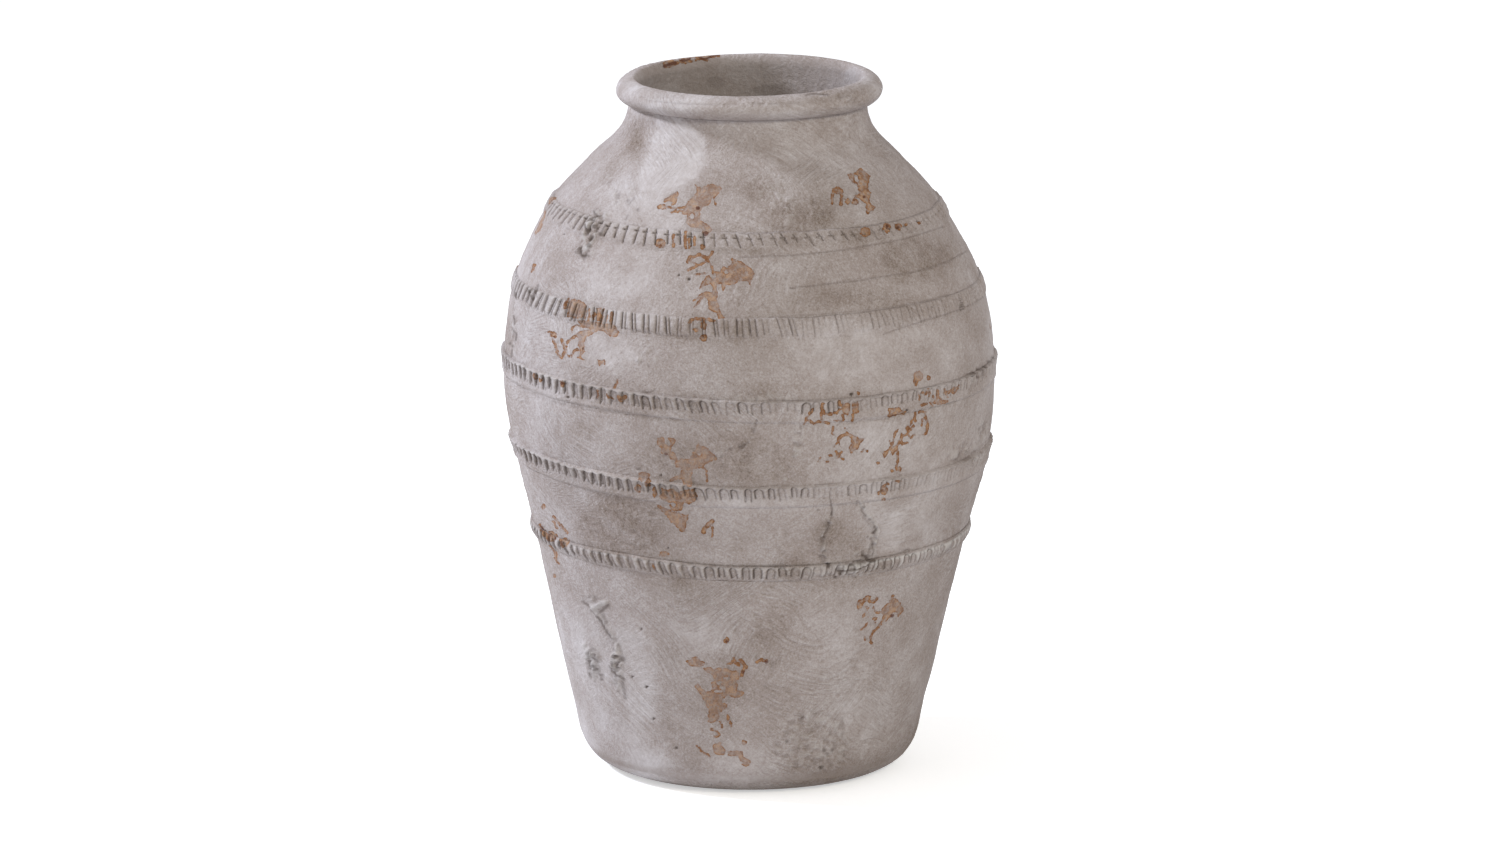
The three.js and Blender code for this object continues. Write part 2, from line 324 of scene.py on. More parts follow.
# Wash worn off: strength 1 is raw clay, less is clay under a thin veil of wash
WORN = [
    # rim, far side, left
    sheet(0.95, (662, 64), (668, 59.5), (680, 57), (692, 55), (720, 53), (720, 57), (710, 58),
          (707, 62), (701, 59.5), (694, 62), (686, 64), (679, 63), (673, 67), (664, 68.5)),
    # shoulder, left of the middle
    sheet(0.4, (695, 184), (700, 187), (711, 183), (720, 185), (722, 189), (717, 195), (712, 199),
          (709, 205), (703, 208), (700, 212), (701, 221), (709, 225), (713, 230), (708, 235),
          (703, 234), (701, 229), (692, 228), (685, 223), (688, 214), (681, 214), (684, 208),
          (687, 203), (691, 197), (697, 192)),
    sheet(0.7, (663, 200), (668, 197), (673, 193), (677, 191), (679, 194), (678, 199), (675, 205),
          (671, 206), (670, 202), (665, 203)),
    spot(0.75, 662, 207, 5, 3),
    line(0.75, 2.6, (660, 208), (664, 206), (672, 208), (680, 208), (687, 207)),
    line(0.7, 2.4, (671, 212), (680, 211), (688, 212)),
    line(0.8, 2.2, (714, 197), (716, 205)),
    spot(0.95, 661, 244, 5.5, 4.5),
    line(0.9, 2.5, (674, 236), (674, 247)),
    line(0.9, 2.5, (686, 233), (686, 248)),
    line(0.9, 2.3, (690, 240), (690, 248)),
    line(0.9, 2.5, (695, 238), (695, 246)),
    spot(0.95, 703, 247.5, 2.6, 2.6),
    # shoulder, right of the middle
    line(0.9, 3.4, (832, 203), (832, 196), (834, 190), (838, 188), (841, 191), (842, 197), (841, 205)),
    spot(0.9, 837.5, 191, 4, 3.5),
    line(0.85, 2.2, (842, 198), (846, 200)),
    spot(0.9, 848, 201.5, 3.2, 3),
    spot(0.9, 855, 202, 4, 2.8),
    sheet(0.85, (847, 175), (851, 173), (855, 173), (857, 170), (861, 168), (866, 172), (870, 176),
          (868, 185), (868, 190), (871, 193), (870, 198), (869, 202), (872, 205), (876, 208),
          (871, 212), (867, 214), (866, 208), (866, 204), (859, 199), (854, 196), (856, 194),
          (859, 195), (858, 189), (857, 184), (852, 183), (849, 178)),
    spot(0.95, 864, 233, 5.5, 4.5),
    spot(0.95, 885.5, 228.5, 4, 5),
    spot(0.95, 896.5, 228, 3.6, 3.6),
    spot(0.9, 905, 225, 1.8, 1.8),
    spot(0.9, 917, 224, 1.8, 1.5),
    # between the two upper bands
    line(0.75, 3.0, (688, 262), (690, 257), (695, 256.5), (699, 254), (704, 257), (708, 258),
         (711, 255), (712.5, 252.5)),
    line(0.7, 2.8, (690, 261), (694, 263.5), (698, 266), (693, 268), (688, 270)),
    line(0.7, 2.8, (699, 265), (703, 263), (708, 260.5), (711, 265), (713, 270), (714, 275)),
    line(0.7, 2.4, (695, 274.5), (701, 274), (706, 274)),
    sheet(0.6, (706, 277), (709, 275), (712, 279), (716, 277), (714, 271), (720, 272), (723, 266),
          (727, 268), (732, 263), (731, 257), (736, 260), (742, 262), (749, 267), (754, 271),
          (755, 275), (751, 281), (751, 285.5), (747, 281.5), (738, 282), (733, 285.5), (727, 285),
          (723, 291), (721, 283), (717, 286), (718, 294), (717, 300), (719.5, 305), (720, 311),
          (725, 318), (719, 319), (717, 313), (708, 308.5), (709, 301), (704, 297.5), (699, 305),
          (693, 308), (700, 299), (693, 301), (697, 297), (704, 292), (712, 292), (713, 288),
          (711, 284), (704, 287), (699.5, 289), (701, 284)),
    line(0.8, 2.8, (690, 323), (692, 320), (699, 319), (708, 320), (714, 321)),
    spot(0.8, 704, 326, 3, 4),
    spot(0.8, 697, 330, 3, 2),
    spot(1.0, 704, 338, 3.3, 3.3),
    # upper belly band, left, and under it
    sheet(0.4, (568, 300), (575, 299), (583, 302), (587, 306), (586, 312), (583, 318), (578, 319),
          (571, 317), (568, 312)),
    line(1.0, 2.8, (568, 299), (566, 308)),
    line(1.0, 3.0, (572, 302), (570, 312), (569, 316)),
    line(1.0, 2.8, (576, 301), (573, 316)),
    line(0.9, 2.4, (578, 312), (578, 318)),
    line(0.8, 2.0, (586.5, 310), (585.5, 318)),
    line(0.8, 2.6, (590.5, 310), (590, 321)),
    line(0.9, 2.8, (595, 313), (594, 319)),
    sheet(0.9, (597, 308), (602, 308), (601, 321), (597, 321)),
    line(0.85, 2.6, (604, 310), (602, 322)),
    line(0.7, 2.2, (609, 316), (607, 323)),
    line(0.75, 2.4, (613, 313), (611.5, 324)),
    sheet(0.42, (578, 320), (590, 321), (600, 323), (608, 324), (614, 323.5), (618, 329), (619, 333),
          (616, 336.5), (612, 337), (607, 335), (603, 331), (598, 331), (592, 334), (586, 337.5),
          (584.5, 341), (584, 349), (584, 353), (581, 357), (578.5, 357.5), (580, 350), (578, 345),
          (578, 339), (576, 334), (581, 331), (590, 329), (584, 327), (580, 324)),
    line(0.55, 2.2, (572, 332), (572, 328), (577, 325.5), (583, 326.5)),
    line(0.6, 2.4, (584, 338), (576, 336), (571, 339), (567, 343)),
    line(0.6, 2.4, (549, 332), (553, 334), (556, 337)),
    line(0.55, 2.4, (553, 339), (556, 344), (556.5, 350), (558.5, 355), (562, 358)),
    line(0.7, 2.6, (562, 339), (564, 345), (566, 350), (564, 354), (562, 357.5)),
    line(0.65, 2.2, (566, 346), (565, 352), (569, 357)),
    line(0.7, 2.6, (571.5, 357), (573, 353), (576, 349.5), (579, 350)),
    line(0.5, 2.0, (578, 357), (583, 359), (586, 361)),
    spot(0.8, 554, 334.5, 3.5, 2.5),
    spot(0.9, 582.5, 350, 2.5, 4),
    sheet(0.65, (596, 357), (599, 360), (604, 360), (606, 364), (602, 365), (600, 367), (597, 363)),
    line(0.7, 2.6, (617, 380), (616.5, 384), (614, 387)),
    # belly band, left
    spot(0.9, 537, 376, 2, 3.5),
    spot(0.9, 542.5, 379.5, 1.7, 2.2),
    spot(1.0, 564, 383.5, 2, 2.6),
    line(1.0, 3.0, (598.5, 391), (598.5, 398)),
    sheet(0.85, (607, 392), (612, 396), (614, 399), (609, 398)),
    line(0.95, 4.5, (620, 396), (622, 400), (626, 397)),
    # belly band, right, and under it
    line(0.9, 2.6, (822, 403), (821, 407), (823, 413), (830, 414)),
    line(0.85, 2.4, (830, 413), (836, 412.5), (839, 409)),
    line(0.85, 2.6, (838, 401), (838.5, 405)),
    sheet(0.75, (840, 404), (846, 402), (849, 403), (849, 413), (847, 415), (841, 412)),
    sheet(0.9, (851, 402), (857, 401), (858.5, 412), (852, 414)),
    line(0.85, 2.4, (852, 414), (852, 421)),
    line(0.75, 2.2, (841, 414), (843, 419), (840, 422)),
    line(0.85, 2.4, (821, 413), (820.5, 417), (822, 420)),
    line(0.75, 2.4, (806, 418), (810, 412), (812, 409)),
    line(0.75, 2.4, (804, 424), (806, 419), (810, 421), (814, 424), (818, 421), (824, 422), (829, 423)),
    line(0.6, 2.0, (834, 420), (840, 420)),
    spot(0.9, 858, 393, 1.5, 1.7),
    sheet(0.75, (845, 428), (848, 433), (854, 435), (859, 438), (866, 437), (863, 441), (860, 443),
          (858, 449), (853, 452), (851, 454), (849, 450), (849, 446), (851, 443), (851, 438),
          (848, 436), (843, 436), (841, 438), (839, 442), (840, 447), (838, 443), (834, 447),
          (832, 448), (837, 441), (837, 438), (842, 434), (846, 432)),
    line(0.6, 2.2, (833, 427), (832, 433), (834, 435)),
    spot(0.8, 838, 455, 2.5, 3),
    line(0.75, 2.2, (836, 451), (838, 456), (842, 451)),
    line(0.75, 2.0, (839, 456), (843, 459)),
    spot(0.75, 830, 455.5, 2.6, 1.3),
    line(0.65, 1.8, (818, 461), (821, 457)),
    spot(0.6, 827, 461.5, 1.6, 1.2),
    line(0.85, 2.4, (862, 452), (864, 449), (867, 451)),
    spot(0.9, 878, 463, 1.9, 1.6),
    sheet(0.85, (887, 408), (899, 407), (901, 410), (906, 411), (905, 414.5), (899, 415), (890, 418),
          (887, 416), (888, 412)),
    spot(0.85, 916, 381, 2.6, 5),
    spot(0.35, 919, 376, 5, 5),
    spot(0.7, 929, 378, 2, 2.2),
    line(0.6, 2.4, (920, 392), (924, 394)),
    line(0.6, 2.4, (926, 389), (929, 396)),
    line(0.6, 2.6, (936, 390), (937, 397), (935, 402), (943, 401)),
    line(0.7, 2.8, (947, 392), (952, 388), (956, 388)),
    line(0.9, 2.6, (921, 405), (926, 403.5)),
    line(0.6, 2.0, (916.5, 393), (919, 397), (918.5, 400)),
    line(0.6, 2.0, (923.5, 394.5), (925.5, 391.5)),
    line(0.6, 2.0, (932, 396), (935, 401.5), (932, 403)),
    line(0.6, 2.0, (939, 397), (941, 401)),
    line(0.55, 2.0, (943, 389), (944.5, 393), (946.5, 397)),
    line(0.6, 2.2, (949, 390), (953, 392.5), (955.5, 389), (957, 386)),
    line(0.6, 2.4, (930, 402), (932, 406)),
    line(0.5, 2.6, (938, 404), (946, 401)),
    line(0.8, 2.4, (916, 413), (915, 419), (916, 421)),
    line(0.85, 2.6, (920, 412), (925, 412), (926, 416), (927.5, 421), (928, 427), (926.5, 433),
         (924, 435)),
    line(0.6, 2.0, (922, 425), (923, 420), (925, 418)),
    line(0.7, 2.0, (912, 420), (911.5, 424)),
    spot(0.95, 908, 428.5, 1.9, 3),
    line(0.85, 2.4, (914, 426), (910, 431), (908, 434), (911, 438), (915, 435)),
    line(0.7, 2.2, (908, 434), (903, 436), (901, 441), (903, 444), (908, 443)),
    line(0.7, 2.2, (898, 430), (895, 434), (894, 440), (892, 447), (889, 450), (886, 454), (884, 457)),
    line(0.85, 2.4, (901, 434), (902, 438), (899, 443), (897, 447), (898, 452), (898, 460), (897, 464),
         (896, 468), (899, 471)),
    line(0.7, 2.0, (890, 441), (892, 446)),
    sheet(0.75, (889, 447), (896, 445), (899, 448), (896, 451), (893, 455), (890, 451)),
    spot(0.85, 899, 468.5, 3, 2.4),
    spot(0.85, 892.5, 470.5, 2, 1.2),
    spot(0.8, 884.5, 453.5, 2.2, 2.2),
    # over, on and under the lower belly band
    sheet(0.3, (698, 442), (700, 445), (707, 448), (711, 452), (716, 457), (717, 460), (712, 461),
          (708, 463), (704, 465), (703, 468), (698, 468), (693, 469), (692, 476), (693, 484),
          (690, 486), (684, 484), (682, 478), (678, 480), (670, 482), (669, 480), (675, 476),
          (680, 474), (682, 470), (680, 467), (676, 467), (674, 462), (678, 461), (680, 458),
          (684, 458), (687, 460), (690, 458), (693, 452), (696, 447)),
    sheet(0.38, (657, 438), (661, 436), (664, 439), (665, 443), (669, 446), (670, 441), (667, 438),
          (673, 438), (676, 440), (674, 444), (671, 447), (671, 451), (675, 453), (677, 457),
          (678, 461), (674, 461), (670, 458), (667, 455), (663, 454), (660, 452), (662, 448),
          (657, 445)),
    line(0.45, 2.0, (703, 468), (706, 470), (707, 475), (707, 481)),
    sheet(0.75, (662, 487), (668, 489), (675, 487), (679, 491), (683, 489), (689, 488), (695, 488),
          (697, 492), (698, 498), (695, 501), (690, 503), (684, 502), (684, 507), (681, 510),
          (676, 511), (671, 510), (669, 506), (671, 503), (668, 501), (663, 499), (660, 496),
          (662, 492)),
    spot(0.8, 639, 488, 3.5, 4),
    spot(0.85, 649, 482, 3, 4),
    spot(0.85, 656, 491, 2.5, 5),
    spot(0.25, 644, 476, 6, 4),
    sheet(0.5, (657, 504), (663, 507), (668, 508), (672, 511), (679, 512), (684, 514), (689, 514),
          (688, 519), (686, 526), (686, 531), (682, 532), (679, 529), (676, 526), (671, 522),
          (667, 516), (662, 512), (658, 507)),
    line(1.0, 3.0, (685, 516), (683, 521), (681, 527), (681, 530)),
    line(1.0, 4.6, (703.5, 532), (705, 528), (709, 524), (712, 521)),
    line(0.7, 2.0, (712, 521), (712.5, 528), (712, 537)),
    spot(0.85, 883, 490, 4.2, 4.2),
    line(0.7, 2.4, (886, 483), (881, 486), (878, 493)),
    spot(0.6, 883, 499, 2, 2),
    spot(0.7, 896, 480, 3, 1.5),
    # foot band, left
    sheet(0.85, (548, 531), (553, 531), (558, 536), (557, 541), (551, 540), (547, 535)),
    sheet(0.9, (561, 539), (566, 538), (571, 541), (570, 546), (564, 547), (561, 544)),
    line(1.0, 2.6, (540, 525), (543, 530), (547, 535)),
    line(0.6, 2.6, (553, 517), (556, 521), (562, 527), (567, 533)),
    line(0.45, 2.4, (553, 521), (557, 528)),
    line(0.6, 2.6, (552, 545), (555, 552), (556, 560)),
    spot(0.75, 558.5, 563, 1.4, 1.8),
    spot(0.6, 555, 575.5, 2, 2),
    spot(0.5, 543, 507, 1.8, 2.4),
    line(0.8, 2.4, (654, 563), (656, 568)),
    spot(0.35, 664, 554, 5, 3),
    # lower wall
    spot(1.0, 726.5, 640, 2.6, 3.2),
    line(0.95, 3.2, (757, 662), (762, 660), (767, 661)),
    sheet(0.6, (686, 661), (690, 660), (693, 657), (698, 657), (701, 661), (707, 663), (703, 666),
          (700, 668), (694, 666), (689, 666)),
    sheet(0.42, (702, 668), (710, 667), (713, 669), (719, 668), (728, 668), (732, 671), (738, 671),
          (740, 673), (739, 679), (737, 681), (738, 685), (737, 690), (742, 691), (745, 694),
          (741, 697), (734, 698), (728, 696), (724, 698), (722, 702), (727, 705), (727, 708),
          (722, 711), (720, 714), (719, 719), (715, 722), (711, 723), (708, 722), (708, 715),
          (709, 711), (706, 706), (703, 700), (700, 694), (697, 690), (694, 686), (698, 683),
          (702, 688), (707, 692), (711, 691), (712, 687), (711, 683), (714, 680), (712, 675),
          (706, 672)),
    line(0.85, 3.5, (740, 660), (744, 664), (746, 667), (743, 671), (742, 675)),
    line(0.7, 2.6, (727, 664), (731, 663), (734, 660), (736, 663), (739, 665)),
    line(0.7, 2.0, (733, 660), (735, 655)),
    line(0.75, 2.5, (727, 716), (729, 718), (727.5, 721)),
    line(0.7, 2.5, (730, 722), (731, 726)),
    line(0.6, 2.2, (720, 722), (722, 727)),
    line(0.55, 2.5, (711, 729), (717, 732), (719, 735), (714, 737)),
    line(0.6, 2.5, (697, 746), (700, 749), (703, 753), (706, 754), (710, 757)),
    sheet(0.42, (713, 745), (719, 742), (722, 740), (722, 746), (726, 751), (725, 755), (718, 755),
          (713, 753)),
    spot(0.6, 744, 743, 2.5, 3),
    sheet(0.38, (727, 752), (737, 750), (742, 752), (743, 757), (750, 760), (752, 764), (746, 767),
          (741, 762), (738, 757), (728, 756)),
    spot(0.6, 746, 763.5, 4.5, 3),
    # lower wall, right
    sheet(0.8, (856, 604), (859, 600), (863, 599), (866, 596), (869, 595), (871, 597), (870, 600),
          (875, 600), (877, 596), (879, 598), (876, 602), (872, 604), (868, 602), (864, 602),
          (863, 607), (861, 610), (858, 610), (857, 607)),
    line(0.4, 2.0, (864, 606), (868, 608), (866, 613), (863, 617)),
    line(0.4, 2.0, (868, 612), (868, 617)),
    sheet(0.6, (882, 609), (885, 606), (888, 604), (890, 601), (892, 595), (894, 598), (898, 600),
          (901, 603), (904, 608), (904, 611), (901, 615), (898, 617), (897, 613), (894, 611),
          (893, 614), (889, 618), (886, 622), (884, 622), (885, 618), (882, 614), (878, 614),
          (874, 612), (872, 607), (874, 606), (876, 611), (882, 612)),
    line(1.0, 2.0, (893.5, 596), (892, 600)),
    line(0.85, 2.4, (884, 617), (883, 621), (880, 625), (877, 629), (873, 632), (871, 637), (871, 642),
         (872, 643.5)),
    spot(0.85, 875, 619, 2.2, 2),
    spot(0.85, 875.5, 624.5, 1.2, 2),
    spot(0.7, 865.5, 638.5, 1.5, 2),
    line(0.45, 1.8, (867, 623), (865, 627), (861, 630)),
    # far left
    sheet(0.5, (552, 197), (557, 198), (554, 204), (551, 207), (550, 203)),
    sheet(0.45, (548, 210), (547, 215), (543, 221), (541, 227), (538, 232), (534, 234), (534, 229),
          (538, 222), (542, 216)),
    line(0.8, 3.0, (534, 265), (532, 271)),
    # far right
    sheet(0.7, (981, 273), (984, 274), (986, 281), (986.5, 287), (984, 286), (982.5, 280)),
    spot(0.8, 991.5, 326, 1.6, 3.2),
]

# Wash left standing inside the worn places
KEPT = [
    spot(1, 677, 60, 3, 1.6),
    spot(1, 693, 59, 3, 1.8),
    spot(1, 685, 56, 4, 1.0),
    spot(1, 692, 216, 2, 3),
    spot(1, 668.5, 203, 2.5, 1.3),
    spot(1, 856.5, 178.5, 2.3, 3.4),
    spot(1, 726, 272.5, 2.2, 1.5),
    spot(1, 674, 504, 2.4, 2.4),
    spot(1, 718, 691.5, 4, 1.5),
    spot(1, 726, 678, 3, 1.5),
    spot(1, 719, 683, 2, 1.5),
    spot(1, 722, 688, 3, 1.2),
    spot(1, 864.5, 604, 1.6, 1),
    spot(1, 699, 455, 2, 1.2),
]

# Places where the clay is burnt dark
BURNT = [
    line(0.9, 3.6, (664, 66.5), (671, 64), (675, 63)),
    line(0.8, 3.2, (681, 60.5), (686, 60.5), (690, 58.5)),
    line(0.9, 2.6, (700, 58), (706, 59), (712, 56), (719, 55)),
    spot(0.9, 698, 208, 2.5, 2),
    spot(1.0, 706, 234, 3.2, 3),
    spot(0.8, 854, 200.5, 1.6, 1.3),
    spot(0.7, 864, 197, 2, 2),
    spot(0.8, 886, 227, 2, 2.6),
    spot(0.7, 897, 228, 1.6, 2),
    spot(0.6, 661, 246, 2, 1.6),
    spot(0.6, 735, 271, 1.5, 1.5),
    spot(0.9, 555, 336.8, 1.7, 1.4),
    spot(0.7, 583, 348.5, 1.6, 2),
    line(0.55, 2.4, (572, 302), (570, 308)),
    line(0.55, 2.4, (568, 299), (566.5, 304)),
    line(0.5, 2.2, (600.5, 309), (599, 316)),
    spot(0.8, 564, 383, 1.8, 2),
    line(0.7, 2.0, (598.5, 391), (598.5, 396)),
    spot(0.6, 621, 399, 2.5, 1.5),
    line(0.8, 1.8, (889, 417), (896, 415)),
    spot(0.5, 908, 428.5, 1.6, 2),
    spot(0.6, 916, 382, 1.6, 2.5),
    spot(1.0, 666, 454, 2.3, 1.7),
    line(0.6, 2.0, (690, 492), (690.5, 496)),
    line(0.5, 2.0, (679.5, 491), (679.5, 494)),
    spot(0.5, 656, 492, 2, 3),
    spot(0.6, 648, 482, 1.5, 2.5),
    spot(0.6, 882, 490, 2.4, 2.2),
    line(0.8, 2.4, (551, 534), (551.5, 540)),
    line(0.7, 2.4, (557, 538), (557, 541)),
    line(0.8, 2.4, (563, 541), (564, 545)),
    line(0.8, 2.0, (541, 526), (544, 531)),
    spot(0.85, 727, 641.5, 2.2, 1.7),
    spot(0.85, 766.5, 662, 2.6, 2.3),
    spot(0.7, 743, 672, 2.2, 2.6),
    spot(0.5, 729.5, 678, 2, 2.5),
    spot(0.4, 736, 683, 1.8, 3),
    spot(0.4, 724, 708, 3, 2.5),
    spot(0.7, 714, 715.5, 1.4, 1.2),
    spot(0.5, 710.5, 722, 2.5, 1.5),
    spot(0.8, 717, 720.5, 1.4, 1.4),
    spot(0.7, 711.5, 729, 1.5, 1.2),
    spot(0.7, 724, 752.5, 1.6, 1.2),
    spot(0.5, 703, 665.5, 1.5, 1.3),
    spot(0.7, 861, 603, 1.9, 1.3),
    spot(0.6, 865, 601.5, 1.9, 1.0),
    spot(1.0, 892.5, 615.8, 2.5, 2.1),
    spot(0.6, 875.5, 624.5, 1.0, 1.6),
    spot(0.4, 893, 621, 1, 1.6),
    spot(0.5, 872, 642.5, 1.5, 1.5),
]

# Creases at the right, pressed in, with dirt and painted shade in them: in the wall, and under the lower
# edges of two bands
WALL_CREASE = (
    (790, 288), (830, 283.5), (861, 280), (887, 276),
    (913, 272), (931, 267.5), (948, 261.5), (966, 251.5),
)
SHOULDER_BAND_CREASE = (
    (740, 257.5), (792, 255.5), (827, 252), (853, 248.5),
    (873, 245), (896, 241), (913, 237), (943, 227),
)
UPPER_BELLY_BAND_CREASE = (
    (884, 334), (903, 327.5), (925, 320.5), (948, 313.5), (970, 305), (983, 297),
)

# Cuts, cracks and pressed lines: strength is the depth in millimetres
CUTS = [
    line(0.6, 1.7, (830, 488), (830, 500), (832, 510), (831, 518)),
    line(0.7, 1.5, (829, 527), (823, 536), (827, 545), (822, 552), (826, 560), (829, 568)),
    line(0.9, 1.7, (857, 501), (861, 507), (865, 515), (872, 522), (876, 529)),
    line(0.7, 1.5, (871, 534), (872, 543), (869, 551), (870, 558)),
    line(0.9, 1.9, (835, 568), (846, 565), (858, 562), (869, 559), (880, 559.5), (890, 558),
         (900, 553), (909, 550)),
    line(0.8, 1.6, (720, 458), (724, 452), (730, 449), (742, 448), (750, 440), (754, 430), (756, 420)),
    line(0.5, 2.0, (513, 381), (525, 391), (540, 398), (560, 404), (580, 409), (600, 412), (640, 416),
         (680, 420)),
    line(0.55, 1.7, (800, 426), (830, 425), (860, 422), (885, 419), (910, 412), (935, 407), (955, 402)),
    line(0.55, 1.4, (856, 401), (868, 398), (886, 397), (895, 396), (905, 393), (914, 391)),
    line(0.45, 1.5, (625, 392), (650, 393), (655, 390)),
    line(0.45, 1.5, (690, 398), (706, 400), (720, 400)),
    line(0.4, 1.4, *WALL_CREASE),
    line(0.3, 1.4, *SHOULDER_BAND_CREASE),
    line(0.3, 1.4, *UPPER_BELLY_BAND_CREASE),
    line(0.45, 1.8, (615, 327), (660, 335), (700, 338)),
    line(0.35, 2.2, (628, 93), (650, 100), (690, 104), (750, 104.5), (800, 103), (850, 97), (872, 90)),
    line(0.5, 1.6, (806, 95), (814, 94), (826, 94)),
    line(0.35, 1.3, (720, 233), (745, 233.5), (775, 233)),
    line(0.7, 2.0, (640, 470), (634, 468)),
]

# Raised lines and crumbs of clay: strength is the height in millimetres
RAISED = [
    line(1.8, 5.0, (594, 607), (598, 606), (602, 603), (606, 602)),
    line(1.2, 3.5, (592, 605), (594, 610), (598, 613)),
    line(0.8, 3.0, (602, 617), (606, 624), (610, 632), (613, 637)),
    line(1.4, 4.0, (585, 644), (587, 650), (589, 656)),
    line(1.0, 3.0, (594, 660), (596, 672), (595, 679)),
    line(0.9, 3.0, (612, 656), (616, 668), (621, 678)),
    line(0.9, 2.6, (619, 684), (617, 690)),
    line(0.8, 3.0, (617, 643), (617, 652)),
    line(1.0, 3.0, (597, 235), (592, 242), (587, 250)),
    line(0.25, 1.4, (552, 215), (563, 225), (575, 231), (588, 236)),
    line(0.3, 1.6, (555, 293), (575, 296), (600, 303)),
    line(0.3, 1.6, (820, 230), (870, 223), (900, 219)),
    line(0.3, 1.6, (860, 245), (900, 237), (925, 232)),
    line(0.25, 1.4, (858, 583), (855, 590), (853, 598)),
    line(0.8, 1.8, (833.5, 505), (834.5, 510), (833, 515)),
    line(0.9, 2.0, (859, 500), (866.5, 512), (872, 519), (877.5, 527)),
    spot(1.0, 878, 531, 2.0, 1.6),
    spot(0.9, 871, 536, 2.4, 1.4),
    line(0.8, 1.8, (874.5, 541), (875.5, 550), (874, 557)),
    line(1.2, 2.2, (838, 568), (846, 566), (857, 564.5), (867, 561.5)),
    spot(0.7, 734, 145, 1.3, 1.3),
    spot(0.7, 753, 146, 1.2, 1.4),
    spot(0.6, 780, 176, 1.4, 1.2),
    line(0.7, 1.8, (762, 184), (765, 187)),
    line(0.7, 2.0, (776, 194), (780, 200)),
    spot(0.7, 787, 210, 1.4, 1.8),
    spot(0.9, 785, 479, 2.2, 2.2),
    spot(0.8, 795, 430, 2, 2.4),
    spot(0.8, 797, 444, 2, 2.2),
    spot(0.8, 795, 455, 2, 2),
    spot(0.5, 667, 745, 1.4, 1.4),
    spot(0.5, 722, 456, 1.6, 2),
    spot(0.5, 699, 455, 1.8, 1.2),
]

# Pinholes: strength is the depth in millimetres
PITS = [
    spot(1.0, 689, 279, 1.7, 1.4),
    spot(0.7, 679, 275, 1.1, 1.1),
    spot(0.6, 697, 271, 1.0, 1.0),
    spot(1.3, 851.5, 394.5, 1.7, 1.7),
    spot(0.8, 653, 719, 1.4, 1.2),
    spot(0.7, 676, 748, 2.0, 1.1),
    spot(0.8, 820, 768, 1.4, 1.4),
    spot(0.7, 668, 548, 1.1, 1.1),
    spot(0.7, 661, 475, 1.1, 1.1),
    spot(1.0, 646, 687, 1.9, 1.4),
    spot(0.7, 632, 677, 1.5, 1.1),
    spot(0.6, 641, 629, 1.1, 1.6),
    spot(0.9, 906.5, 410, 1.3, 1.3),
    spot(0.6, 564, 234, 1.0, 1.0),
    spot(0.7, 569, 397, 1.6, 1.3),
    spot(0.5, 818, 510, 1.4, 1.0),
]

# Crumbly, dirty places: strength is how rough they are
CRUSTS = [
    line(1.0, 13, (597, 215), (594, 228), (588, 240), (582, 254)),
    spot(0.9, 583, 252, 11, 6),
    line(0.7, 8, (606, 216), (600, 224)),
    spot(0.8, 535, 291, 6, 9),
    spot(0.45, 812, 742, 38, 32),
    line(0.4, 9, (827, 520), (822, 540), (824, 556), (828, 566)),
    line(0.7, 6, (858, 500), (866, 514), (876, 528), (874, 545), (866, 556)),
    spot(0.9, 862, 555, 10, 5),
    line(0.7, 7, (716, 457), (728, 450), (742, 447), (750, 438), (755, 424)),
    spot(0.5, 790, 210, 8, 15),
    spot(0.6, 797, 440, 9, 17),
    spot(0.8, 848, 570, 24, 9),
    spot(0.5, 820, 572, 20, 7),
    spot(0.6, 514, 330, 4, 30),
    spot(0.8, 638, 360, 4, 3),
    spot(0.8, 648, 353, 4, 3.5),
    spot(0.8, 654, 358, 3.5, 2.5),
    spot(0.7, 648, 364, 2.5, 4),
    spot(0.6, 617, 198, 6, 12),
    spot(0.5, 630, 190, 6, 5),
    spot(0.5, 608, 178, 6, 8),
    spot(0.6, 962, 452, 18, 12),
    spot(0.6, 983, 432, 8, 14),
    spot(0.5, 975, 372, 10, 9),
    spot(0.4, 690, 404, 30, 5),
    spot(0.4, 760, 398, 36, 5),
]

# Clean crumbs of clay stuck to the wall: strength is how thick they lie
CRUMBS = [
    spot(0.5, 592, 598, 9, 5),
    spot(0.9, 593, 661, 7, 16),
    spot(0.9, 616, 664, 6, 20),
    line(0.6, 5, (598, 616), (606, 628), (612, 640)),
    line(0.6, 7, (830, 520), (822, 540), (826, 562)),
    line(0.6, 7, (872, 522), (876, 540), (868, 556)),
    spot(0.4, 860, 566, 30, 7),
]
